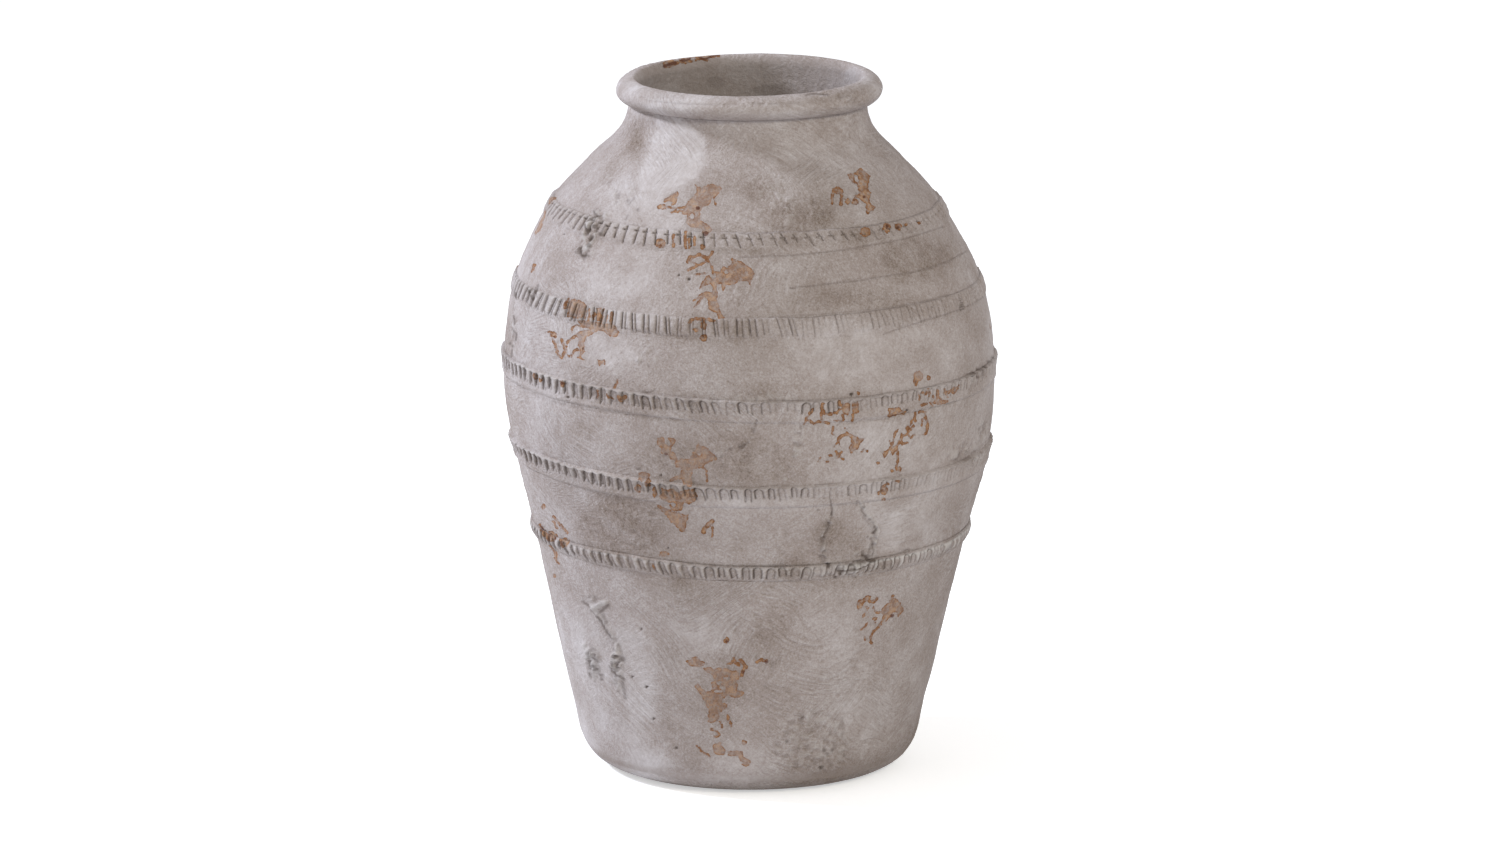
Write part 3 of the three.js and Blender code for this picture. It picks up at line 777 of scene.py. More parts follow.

# Dirt and painted shade in crevices, creases, cracks and pits, and painted shadows beside crumbs:
# strength is how dark it is
DIRT_AND_SHADE = [
    # dirt and painted shade in the crust over the shoulder band, left
    line(0.8, 2.4, (595, 212), (597, 216), (600, 217)),
    line(0.8, 2.2, (590, 223), (594, 220), (599, 217)),
    line(0.85, 2.4, (587, 226), (589, 233)),
    spot(0.9, 597, 228, 2.6, 2.0),
    spot(0.8, 590, 233, 1.8, 1.8),
    spot(0.95, 602, 235, 2.2, 1.8),
    line(0.7, 2.2, (607, 226), (603, 233)),
    line(0.7, 2.0, (594, 237), (590, 241)),
    spot(0.85, 590, 246, 2.2, 2.6),
    spot(0.85, 580, 250, 2.4, 2.6),
    line(0.7, 2.2, (576, 252), (582, 255), (589, 256)),
    # a brown stain and painted shade inside the mouth, and scratches on the rim
    spot(0.25, 716, 82, 9, 6),
    spot(0.3, 772, 90, 20, 6),
    line(0.25, 1.2, (645, 100), (665, 102.5), (690, 104), (718, 104.5)),
    line(0.35, 1.0, (752, 103), (764, 103.5)),
    line(0.3, 1.0, (770, 103.5), (778, 103.5)),
    line(0.25, 1.0, (788, 103), (800, 102.5)),
    line(0.6, 1.8, (806, 95), (814, 93.5), (828, 95)),
    line(0.4, 1.4, (838, 97), (850, 96)),
    line(0.35, 1.6, (848, 102), (852, 98)),
    line(0.35, 1.6, (853, 103), (857, 97)),
    # specks on the shoulder, left
    spot(0.6, 628, 201, 1.4, 1.8),
    line(0.5, 1.6, (629, 205), (635, 198)),
    spot(0.6, 638, 210, 1.2, 1.6),
    line(0.5, 1.6, (628, 216), (626, 220)),
    # painted shade and dirt in the creases in the wall and the bands, right
    line(0.5, 1.2, *WALL_CREASE),
    line(0.3, 1.0, (819, 285.5), (840, 281.5), (861, 278)),
    line(0.45, 1.2, *SHOULDER_BAND_CREASE),
    line(0.4, 1.2, *UPPER_BELLY_BAND_CREASE),
    line(0.35, 1.2, (771, 317), (809, 315), (861, 311), (896, 306.5), (922, 301.5), (948, 294.5)),
    # painted shade and dirt in the crease over the shoulder band
    line(0.4, 1.8, (740, 234), (756, 234.5), (770, 233.5), (784, 233)),
    # painted shade and dirt in the cracks, right
    line(0.5, 1.0, (829, 490), (829, 497), (830.5, 503)),
    line(0.9, 1.2, (831, 505), (832, 510), (831, 515)),
    line(0.45, 1.0, (830, 518), (828, 524), (827, 530)),
    spot(0.7, 824, 537, 1.6, 1.6),
    spot(0.6, 824, 550, 1.6, 1.0),
    spot(0.5, 820, 556, 1.5, 1.5),
    spot(0.6, 827.5, 565, 2.0, 2.0),
    line(0.6, 1.6, (856, 500), (856.5, 505)),
    line(0.8, 1.6, (861, 510), (865.5, 516)),
    line(0.45, 1.4, (863, 516), (866, 520), (869, 525)),
    spot(0.8, 863.5, 506.5, 1.6, 1.0),
    spot(0.8, 874, 526.5, 1.4, 1.4),
    line(0.8, 2.0, (876, 529.5), (873, 533)),
    spot(0.6, 867.5, 537, 1.2, 1.4),
    spot(0.7, 871, 538.5, 1.6, 1.0),
    line(0.65, 1.4, (872, 541), (873, 550), (872, 556)),
    line(0.6, 1.6, (861, 556), (864, 556), (868, 559)),
    line(0.95, 2.0, (867, 560), (874, 560)),
    line(0.8, 1.4, (837, 570), (846, 569), (857, 567), (866, 563.5)),
    spot(0.8, 835, 577, 2.0, 1.6),
    spot(0.8, 839, 573.5, 1.6, 1.6),
    spot(0.6, 848, 573, 1.6, 1.6),
    # painted shadows beside the crumbs, lower wall, left
    line(0.7, 2.4, (583.5, 602), (587, 604), (591, 607)),
    line(0.85, 1.8, (591, 608), (595, 613), (600, 618), (604, 626), (608, 633), (612, 638)),
    line(0.75, 2.8, (600, 612.5), (604, 609), (608, 605)),
    line(0.6, 2.6, (603, 614), (605, 619), (607, 623)),
    line(0.5, 1.8, (606, 627), (609, 632), (612, 638)),
    line(0.5, 1.8, (614.5, 636), (616.5, 641)),
    line(0.5, 1.8, (619, 643), (619, 646)),
    spot(0.5, 592, 652, 2.2, 4.0),
    line(0.55, 2.2, (590, 661), (590, 668)),
    spot(0.6, 591, 675, 1.8, 2.4),
    spot(0.6, 597, 665, 1.6, 1.6),
    spot(0.6, 597, 669, 1.8, 1.4),
    spot(0.75, 601.5, 675, 2.2, 1.4),
    spot(0.7, 601.5, 679, 2.0, 2.0),
    spot(0.6, 616, 656.5, 2.2, 1.8),
    spot(0.55, 622.5, 659, 3.2, 2.6),
    spot(0.7, 613.5, 664, 1.8, 1.6),
    spot(0.5, 618, 666, 1.8, 2.2),
    line(0.6, 1.6, (609, 666), (613, 671), (617, 675.5)),
    line(0.8, 2.4, (620, 675.5), (624, 679)),
    line(0.55, 3.4, (622, 683), (624, 690), (625, 698)),
    # painted shade and dirt in pits in the wall and the upper belly band, far left
    line(0.7, 1.8, (516.5, 293), (516.5, 299)),
    line(0.75, 1.8, (514, 316), (515, 324)),
    line(0.75, 1.8, (513, 328), (516.7, 334), (516, 340)),
    spot(0.8, 510, 343.5, 1.5, 1.5),
    spot(0.8, 513, 346, 1.5, 1.3),
    line(0.7, 1.8, (512, 350), (511.5, 356)),
    line(0.8, 2.0, (530, 290), (533, 297)),
    line(0.8, 2.0, (538.5, 285), (536, 293)),
    spot(0.8, 534, 299, 1.6, 2.0),
    # painted shade and dirt in pits over the belly band, far right
    spot(0.8, 992.5, 357.5, 1.3, 1.3),
    spot(0.8, 988, 361.5, 1.3, 1.2),
    spot(0.8, 983, 367, 1.4, 1.2),
    spot(0.8, 978, 369.5, 1.4, 1.2),
    spot(0.7, 972, 373, 1.6, 1.5),
    spot(0.7, 975.5, 377, 1.6, 1.3),
    # crust over the foot, right
    spot(0.7, 803, 718, 1.6, 1.3),
    spot(0.9, 824, 750, 1.8, 1.8),
    spot(0.85, 832, 750, 1.6, 2.0),
    spot(0.6, 827, 754, 1.8, 1.6),
    spot(0.7, 821.5, 761, 1.6, 1.4),
    line(0.9, 2.2, (823, 766), (820, 770)),
    line(0.6, 1.6, (775, 752), (777, 755)),
    spot(0.6, 787, 741, 1.4, 1.4),
    line(0.45, 1.4, (790, 749), (794, 750), (799, 748)),
    spot(0.6, 844.5, 755, 1.4, 1.6),
    line(0.35, 2.0, (842, 718), (844, 728), (842, 736)),
]

# Broad dirty stains in the wash: strength is how dark they are
STAINS = [
    spot(0.6, 622, 527, 46, 36),
    spot(0.5, 690, 578, 52, 14),
    spot(0.6, 822, 568, 60, 20),
    spot(0.3, 745, 570, 40, 10),
    spot(0.45, 748, 462, 42, 30),
    spot(0.5, 705, 405, 42, 14),
    spot(0.4, 782, 470, 30, 20),
    spot(0.5, 672, 470, 38, 34),
    spot(0.9, 802, 215, 34, 17),
    spot(0.95, 915, 258, 40, 26),
    spot(0.35, 780, 640, 34, 34),
    spot(0.45, 750, 190, 26, 15),
    spot(0.4, 824, 752, 44, 38),
    spot(0.4, 852, 92, 28, 12),
    spot(0.7, 868, 236, 34, 14),
    spot(0.4, 788, 238, 24, 10),
    spot(0.5, 700, 330, 55, 16),
    spot(0.5, 770, 393, 40, 9),
    spot(0.6, 592, 232, 16, 28),
    spot(0.3, 725, 690, 30, 50),
    spot(0.6, 840, 545, 34, 26),
    spot(0.4, 640, 405, 40, 10),
    spot(0.4, 860, 300, 60, 14),
    spot(0.5, 612, 172, 10, 22),
    spot(0.7, 637, 138, 15, 22),
]

# Broad places where the wash lies thick and pale, some of them painted light
CHALKED_AND_LIT = [
    spot(0.6, 632, 85, 20, 18),
    spot(0.6, 670, 105, 50, 14),
    # painted highlight on the neck, left, where the lamp falls
    spot(0.8, 672, 150, 30, 36),
    spot(0.6, 622, 268, 40, 32),
    spot(0.4, 540, 360, 26, 80),
    spot(0.6, 600, 350, 50, 22),
    spot(0.6, 580, 690, 40, 100),
    spot(0.5, 628, 690, 30, 80),
    spot(0.3, 894, 520, 42, 42),
    # painted light under the rim and on the neck, right, lifting the rim's shadow
    spot(0.5, 765, 118, 90, 9),
    spot(0.4, 800, 152, 46, 18),
    spot(0.5, 935, 478, 40, 22),
    spot(0.4, 866, 725, 36, 34),
    spot(0.5, 850, 352, 60, 34),
    spot(0.8, 630, 768, 44, 24),
    spot(0.5, 880, 440, 50, 20),
    spot(0.2, 830, 650, 50, 50),
    spot(0.5, 700, 630, 40, 22),
    spot(0.6, 740, 500, 60, 10),
    spot(0.55, 645, 205, 42, 40),
    spot(0.5, 640, 320, 40, 12),
    spot(0.3, 905, 360, 50, 40),
    spot(0.5, 880, 475, 60, 25),
    spot(0.4, 745, 760, 40, 20),
]

# Pale places with a clear edge: thick pale wash, and on the neck a painted highlight
THICK_AND_HIGHLIGHT = [
    # neck, left: a painted highlight where the lamp falls, under the rim's shadow line, on pale wash
    sheet(1.0, (655, 115), (672, 118), (696, 131), (704, 138), (704, 160), (696, 178), (679, 184),
          (660, 191), (643, 188), (641, 169), (650, 150), (656, 131)),
    # right of the cracks
    sheet(0.25, (884, 509), (897, 503), (915, 500), (930, 498), (930, 535), (914, 545), (896, 551),
          (882, 553), (883, 530)),
]

# The wall that these lists cover
MARKED_WALL = [spot(1, 750, 430, 245, 380)]


# Turning and shaping of pieces

GATHER = 0.45  # how far the columns of a ring gather towards the front, where the photograph looks

# The jar stands a little crooked: sideways offsets of its axis by height
LEAN_HEIGHTS = (0, 60, 120, 205, 260, 300, 340, 375, 420, 445, 462)
LEAN_RIGHT = (0, 0, 0.3, 2.2, 0, -0.3, -1.5, -2.8, -2.6, -1.6, 0)
LEAN_BACK = (0, 0.4, 0.8, 0.5, -0.4, -0.6, 0.3, 0.9, 0.6, 0.2, 0)


class Ring:
    """A piece turned about the jar's axis, whose skin can then be worked."""

    def __init__(self, name, outline, turns, cuts, closed=True):
        """Turns an outline of radius and height in steps, and cuts each step into more columns."""
        self.name = name
        clay = bmesh.new()
        spots = [clay.verts.new((radius * MM, 0, height * MM)) for radius, height in outline]
        pairs = list(zip(spots, spots[1:]))
        if closed:
            pairs.append((spots[-1], spots[0]))
        edges = [clay.edges.new(pair) for pair in pairs]
        bmesh.ops.spin(
            clay, geom=spots + edges, cent=(0, 0, 0), axis=(0, 0, 1), dvec=(0, 0, 0),
            angle=2 * math.pi, steps=turns, use_merge=True,
        )
        around = [edge for edge in clay.edges if self.level(edge)]
        bmesh.ops.subdivide_edges(clay, edges=around, cuts=cuts, use_grid_fill=True)
        bmesh.ops.remove_doubles(clay, verts=clay.verts, dist=1e-7)
        bmesh.ops.recalc_face_normals(clay, faces=clay.faces)
        self.mesh = bpy.data.meshes.new(name)
        clay.to_mesh(self.mesh)
        clay.free()
        self.round_out(turns)

    @staticmethod
    def level(edge):
        """Whether an edge runs around the axis."""
        start, end = (vert.co for vert in edge.verts)
        return abs(start.z - end.z) < 1e-8 and abs(start.xy.length - end.xy.length) < 1e-7

    def round_out(self, turns):
        """Brings the columns between the turned ones out to the full round."""
        spots = self.points()
        step = 2 * math.pi / turns
        off = np.mod(np.arctan2(spots[:, 1], spots[:, 0]), step) - step / 2
        angle = np.arctan2(spots[:, 0], -spots[:, 1])
        self.angle = angle - GATHER * np.sin(angle)
        self.radius = np.hypot(spots[:, 0], spots[:, 1]) * np.cos(off) / math.cos(step / 2)
        self.height = spots[:, 2]
        self.settle()

    def settle(self):
        """Puts the points at their angle, radius and height about the leaning axis."""
        self.turned = np.stack(
            [self.radius * np.sin(self.angle), -self.radius * np.cos(self.angle), self.height], 1
        )
        right = np.interp(self.height, LEAN_HEIGHTS, LEAN_RIGHT)
        back = np.interp(self.height, LEAN_HEIGHTS, LEAN_BACK)
        self.move(self.turned + np.stack([right, back, 0 * back], 1))

    def slide(self, outwards, upwards):
        """Moves the points by millimetres out from the axis and up it."""
        self.radius = self.radius + outwards
        self.height = self.height + upwards
        self.settle()

    def points(self):
        """Places of the points in millimetres."""
        flat = np.empty(len(self.mesh.vertices) * 3)
        self.mesh.vertices.foreach_get("co", flat)
        return flat.reshape(-1, 3) / MM

    def move(self, points):
        """Puts the points at places in millimetres."""
        self.mesh.vertices.foreach_set("co", (points * MM).ravel())
        self.mesh.update()

    def swell(self, relief):
        """Moves the skin outwards by a relief in millimetres."""
        self.move(self.points() + self.facing() * relief[:, None])

    def facing(self):
        """Outward directions of the skin."""
        flat = np.empty(len(self.mesh.vertices) * 3)
        self.mesh.vertex_normals.foreach_get("vector", flat)
        return flat.reshape(-1, 3)

    def note(self, **notes):
        """Keeps one number for each point under each name, for the finish to read."""
        for name, values in notes.items():
            layer = self.mesh.attributes.new(name, "FLOAT", "POINT")
            everywhere = np.broadcast_to(values, len(self.mesh.vertices))
            layer.data.foreach_set("value", everywhere.astype(np.float32))

    def done(self, finish, crisp=math.pi):
        """Smooths the piece, apart from corners sharper than crisp, and puts it into the scene."""
        self.mesh.polygons.foreach_set("use_smooth", np.ones(len(self.mesh.polygons), bool))
        self.mesh.set_sharp_from_angle(angle=crisp)
        self.mesh.update()
        piece = bpy.data.objects.new(self.name + "_clay", self.mesh)
        bpy.context.scene.collection.objects.link(piece)
        self.mesh.materials.append(finish)
        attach(piece, "root")
        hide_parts(self.name)


class Sight:
    """A piece's skin as the photograph sees it. The far side wears the same marks, half a turn round."""

    GRAZING = (0.02, 0.16)  # how squarely a place faces the camera while its marks fade in

    def __init__(self, ring, skin):
        self.count = len(skin)
        points = ring.points()
        facing = ring.facing()
        half_turn = np.array([-1, -1, 1])
        in_view = ease(facing @ -view_ahead, *self.GRAZING)
        outward = (facing[:, :2] * points[:, :2]).sum(1) > 0
        behind = ease(facing * half_turn @ -view_ahead, *self.GRAZING) * (1 - in_view) * outward
        self.sides = []
        for side, weight in ((points, skin * in_view), (points * half_turn, skin * behind)):
            kept = np.flatnonzero(weight > 0)
            self.sides.append((kept, photo_place(side[kept]), weight[kept]))

    def each(self, marks):
        """Each mark's strength, the points near it, and how far inside it they lie in pixels."""
        for kept, pixels, weight in self.sides:
            for mark in marks:
                near = mark.near(pixels)
                if near.size:
                    depth = np.clip(mark.inside(pixels[near]), -FAR, FAR)
                    yield mark.strength, kept[near], -FAR + (depth + FAR) * weight[near]

    def drawn(self, marks):
        """How far each point lies inside the marks, in pixels, and the strength of the nearest one."""
        inside = np.full(self.count, -FAR)
        strength = np.zeros(self.count)
        for value, where, depth in self.each(marks):
            more = depth > inside[where]
            inside[where[more]] = depth[more]
            strength[where[more]] = value
        return inside, strength

    def pressed(self, marks, low, high):
        """The marks' strengths, eased in from low to high pixels inside them."""
        total = np.zeros(self.count)
        for value, where, depth in self.each(marks):
            total[where] = np.maximum(total[where], value * ease(depth, low, high))
        return total


# The worked skin

# Unevenness left by building and paddling the wall by hand: lumps of a height and a size in millimetres,
# and how much flatter than wide they lie
WOBBLES = (
    dict(height=0.6, size=75, flat=1.7),
    dict(height=0.3, size=30, flat=1.7),
    dict(height=0.15, size=11, flat=1.0),
    dict(height=0.1, size=4.2, flat=1.0),
    dict(height=0.07, size=2.0, flat=1.0),
)

# Ranges in millimetres over which the worked skin fades out: by depth under the outer wall, by height
# and radius at the curled foot, and by height over the floor, on which the jar rests flat
SKIN_DEPTH = (2.5, 6)
CURL_HEIGHT = (9, 11.5)
CURL_RADIUS = (60, 84)
RESTING = (0.2, 8)

# Pixels outside and inside a mark's edge between which it fades in
FINE_EDGE = (-0.9, 0.5)
PIT_EDGE = (-0.7, 0.7)
RAISED_EDGE = (-0.9, 0.6)
DIRT_AND_SHADE_EDGE = (-1.0, 0.8)
BURNT_EDGE = (-0.8, 0.9)
CRUMB_EDGE = (-2.0, 3.5)
THICK_AND_HIGHLIGHT_EDGE = (-6, 7)
BROAD_EDGE = (-11, 16)
WALL_EDGE = (-11, 11)


def hand_wobble(points):
    """The unevenness at points, in millimetres."""
    return sum(
        wobble["height"] * mottle(points * (1, 1, wobble["flat"]), wobble["size"], seed)
        for seed, wobble in enumerate(WOBBLES, 1)
    )


def outer_depth(ring):
    """How deep points lie under the outer wall."""
    height = np.clip(ring.height, FOOT_HEIGHT, CREASE)
    upright = np.interp(height, wall_line[:, 1], wall_lean[:, 1])
    return (radius_at(height) - ring.radius) * upright


def stains_and_light(sight, spots):
    """How the wash lies: up to 1 where it is thick and pale or where light is painted, down to -1 where
    it is stained.
    """
    stain_and_light = sight.pressed(CHALKED_AND_LIT, *BROAD_EDGE) - sight.pressed(STAINS, *BROAD_EDGE)
    stain_and_light = stain_and_light + sight.pressed(THICK_AND_HIGHLIGHT, *THICK_AND_HIGHLIGHT_EDGE)
    elsewhere = 1 - sight.pressed(MARKED_WALL, *WALL_EDGE)
    return stain_and_light * (1 + 0.6 * mottle(spots, 14, 44, 2)) + elsewhere * 0.7 * mottle(spots, 45, 34, 2)


def wear_and_painted_light(ring, skin, relief, dirt_and_shade=0.0, pale_crest_and_highlight=0.0):
    """Draws the wear, dirt, painted shade and painted highlight on a piece's skin, and gives it its
    relief and the notes for its finish.
    """
    sight = Sight(ring, skin)
    spots = ring.turned
    bare, raw = sight.drawn(WORN)
    kept, _ = sight.drawn(KEPT)
    bare = np.minimum(bare, -kept)

    # Coarse plaster where the wash is stained, and crumbs in the crusts and beside the cracks
    stain_and_light = stains_and_light(sight, spots)
    rough = skin * ease(-stain_and_light + 0.3 * mottle(spots, 22, 40, 2), -0.3, 0.6)
    plaster = rough * (0.28 * mottle(spots, 2.4, 41) + 0.25 * (0.5 - np.abs(mottle(spots, 5.0, 42, 2))))
    crust = sight.pressed(CRUSTS, *CRUMB_EDGE)
    crumbs = 0.8 * mottle(spots, 3.8, 31) + 0.55 * mottle(spots, 2.1, 32)
    stuck = sight.pressed(CRUMBS, *CRUMB_EDGE)
    lumps = ease(0.6 * mottle(spots, 3.4, 35) + 0.6 * mottle(spots, 1.8, 36), -0.25, 0.55)

    # Cuts and raised lines, broken here and there
    broken = 0.35 + 0.65 * ease(mottle(spots, 4.5, 33, 2), -0.35, 0.35)
    cuts = sight.pressed(CUTS, *FINE_EDGE) * broken
    pits = sight.pressed(PITS, *PIT_EDGE)
    raised = sight.pressed(RAISED, *RAISED_EDGE)
    relief = relief + plaster + raised * broken - cuts - pits
    relief = relief + 3.0 * stuck * lumps + crust * (0.35 + 1.5 * np.maximum(crumbs, -0.55))

    # Dirt and painted shade in the low places, pale wash and painted highlight on the high ones
    dirt_and_shade = dirt_and_shade + 0.85 * sight.pressed(DIRT_AND_SHADE, *DIRT_AND_SHADE_EDGE)
    dirt_and_shade = dirt_and_shade + 0.3 * ease(cuts, 0.1, 0.8) + ease(pits, 0.1, 0.7)
    dirt_and_shade = dirt_and_shade + 0.35 * stuck * (1 - lumps) + 0.6 * crust * ease(-crumbs, 0.2, 0.6)
    dirt_and_shade = dirt_and_shade + 0.25 * ease(-plaster, 0.05, 0.4)
    chalk_and_highlight = pale_crest_and_highlight * (1 - ease(bare, -1, 1)) + 0.35 * raised + 0.55 * stuck * lumps
    chalk_and_highlight = chalk_and_highlight + 0.6 * crust * ease(crumbs, 0.0, 0.45) + 0.2 * ease(plaster, 0.08, 0.35)
    ring.swell(relief * ease(ring.height, *RESTING))
    ring.note(
        bare=bare,
        raw=raw,
        burnt=sight.pressed(BURNT, *BURNT_EDGE),
        grime_and_shade=np.clip(dirt_and_shade, 0, 1),
        chalk_and_highlight=np.clip(chalk_and_highlight, 0, 1),
        stain_and_light=np.clip(stain_and_light, -1, 1),
    )


def work_wall(ring):
    """Gives a wall course its hand-made surface."""
    skin = 1 - ease(outer_depth(ring), *SKIN_DEPTH)
    if ring.name == "foot_course":
        skin = np.maximum(skin, 1 - ease(ring.height, *CURL_HEIGHT)) * ease(ring.radius, *CURL_RADIUS)
    wear_and_painted_light(ring, skin, skin * hand_wobble(ring.turned))
    ring.note(inside=1 - skin)


# Notched bands

# How far each kind of band stands out of the wall, in millimetres
ROPE_PROUD = 2.4
RIDGE_PROUD = 2.0
STRIP_PROUD = 1.3


def arch(across, below, half, top, low):
    """How far a place lies from the line that a bent reed presses: two upright legs under a round top."""
    rise = np.minimum(below - top - half, 0)
    return np.hypot(np.abs(np.hypot(across, rise) - half), np.maximum(below - low, 0))


def rope(below, width):
    """A round roll, fuller above."""
    round_face = np.sqrt(np.clip(1 - ((below - 0.44 * width) / (0.5 * width)) ** 2, 0, 1))
    return ROPE_PROUD * round_face * (1 - 0.3 * ease(below, 4, 10))


def ridge(below, width):
    """A strip with a raised upper edge that thins out downwards."""
    top = ease(below, -0.1, 1.3) * (1 + 0.35 * np.exp(-((below - 1.2) / 0.8) ** 2))
    face = RIDGE_PROUD - 0.9 * ease(below, 2, 10)
    return top * face * (1 - 0.8 * ease(below, width - 1.6, width - 0.3))


def strip(below, width):
    """A flat strip with soft edges."""
    return STRIP_PROUD * ease(below, 0, 1.2) * (1 - ease(below, width - 4.5, width - 0.2))


# How each band is laid and notched. Its section is the shape of its face before it is notched, and depth
# is how deep a notch goes. The lists hold values at the angles of PRESS_AT, in radians from the middle of
# the front: how much the notches differ (uneven), the width of the pressed line, how far the band hangs
# below its joint (sway), half the width of the pressed loop (0 is one slit), where the loop starts and
# ends below the band's upper edge, its slant, how dark its line and hollow are with dirt and painted
# shade, how hollow it is inside, how dark the crease above the band is with painted shade and dirt, how
# pale its crests are with wash and painted highlight, and how far down a short dash crosses it. Lengths
# are in millimetres.
PRESS_AT = (-1.1, -0.6, -0.2, 0.3, 0.8)
PRESSES = {
    "foot_band": dict(
        section=rope,
        uneven=(0.3, 0.35, 0.6, 0.8, 0.7),
        line=(0.6, 0.6, 0.55, 0.55, 0.55),
        depth=1.0,
        sway=(0.0, -0.3, 2.2, 3.0, 2.4),
        half=(1.9, 2.2, 2.3, 2.3, 2.2),
        start=(0.8, 0.8, 0.9, 0.9, 0.9),
        end=(8.8, 8.8, 8.2, 8.0, 7.8),
        slant=(-0.25, -0.3, -0.15, 0.0, 0.0),
        dark=(0.9, 0.9, 0.85, 0.9, 0.95),
        hollow=(1.5, 1.2, 0.7, 0.3, 0.2),
        crease=(0.2, 0.3, 0.6, 0.6, 0.5),
        pale_and_highlight=(0.5, 0.5, 0.3, 0.3, 0.9),
    ),
    "lower_belly_band": dict(
        section=ridge,
        uneven=(0.3, 0.4, 0.9, 0.9, 0.8),
        line=(0.6, 0.6, 0.5, 0.5, 0.45),
        depth=1.1,
        sway=(-1.9, 0.6, 3.2, 3.5, 3.6),
        half=(1.9, 2.1, 2.4, 2.0, 1.9),
        start=(1.6, 1.6, 1.4, 1.4, 1.4),
        end=(9.8, 9.4, 9.0, 9.0, 10.0),
        slant=(0.05, 0.05, -0.22, -0.05, -0.1),
        dark=(0.95, 0.9, 0.85, 0.5, 0.45),
        hollow=(1.8, 1.1, 0.5, 0.2, 0.1),
        crease=(0.1, 0.1, 0.3, 0.3, 0.2),
        pale_and_highlight=(0.4, 0.3, 0.15, 0.1, 0.15),
    ),
    "belly_band": dict(
        section=ridge,
        uneven=(0.3, 0.4, 1.0, 1.1, 1.0),
        line=(0.6, 0.6, 0.55, 0.5, 0.5),
        depth=1.1,
        sway=(-2.8, -1.4, 0.7, 2.5, 2.4),
        half=(1.8, 2.2, 2.3, 2.1, 1.8),
        start=(1.4, 1.4, 1.4, 1.4, 1.2),
        end=(10.6, 10.4, 9.0, 8.4, 8.4),
        slant=(0.1, 0.0, -0.3, -0.05, -0.05),
        dark=(0.95, 0.95, 0.9, 0.75, 0.65),
        hollow=(1.8, 1.1, 0.5, 0.2, 0.1),
        crease=(0.1, 0.2, 0.8, 0.5, 0.5),
        pale_and_highlight=(0.4, 0.3, 0.15, 0.1, 0.1),
    ),
    "upper_belly_band": dict(
        section=strip,
        uneven=(0.3, 0.5, 1.3, 1.3, 1.0),
        line=(1.0, 0.55, 0.45, 0.35, 0.35),
        depth=1.3,
        sway=(0.8, 3.1, 3.7, 3.6, 3.0),
        half=(1.0, 1.5, 1.3, 1.8, 1.8),
        start=(-2.0, -2.0, -1.0, -2.0, -2.0),
        end=(11.5, 12.5, 13.0, 12.0, 12.0),
        slant=(0.3, 0.02, -0.1, -0.1, -0.15),
        dark=(1.0, 1.0, 0.9, 0.5, 0.4),
        hollow=(0.9, 0.0, 0.15, 0.0, 0.0),
        crease=(0.1, 0.1, 0.2, 0.5, 0.5),
        pale_and_highlight=(0.3, 0.3, 0.1, 0.0, 0.0),
    ),
    "shoulder_band": dict(
        section=strip,
        uneven=(0.3, 0.4, 0.7, 1.0, 1.0),
        line=(1.0, 0.65, 0.5, 0.4, 0.4),
        depth=1.5,
        sway=(0.3, 2.5, 2.8, 3.4, 3.8),
        half=(0.0, 0.0, 0.0, 0.0, 0.0),
        start=(0.6, 0.8, 2.0, 2.6, 2.6),
        end=(10.0, 12.6, 10.2, 9.2, 9.0),
        slant=(0.5, 0.05, -0.3, -0.5, -0.4),
        dark=(1.0, 1.0, 0.95, 0.55, 0.2),
        hollow=(0.0, 0.0, 0.0, 0.0, 0.0),
        crease=(0.1, 0.2, 0.5, 0.7, 0.3),
        pale_and_highlight=(0.2, 0.2, 0.1, 0.0, 0.0),
        dash=(3.2, 3.9, 4.8, 5.4, 5.4),
    ),
}


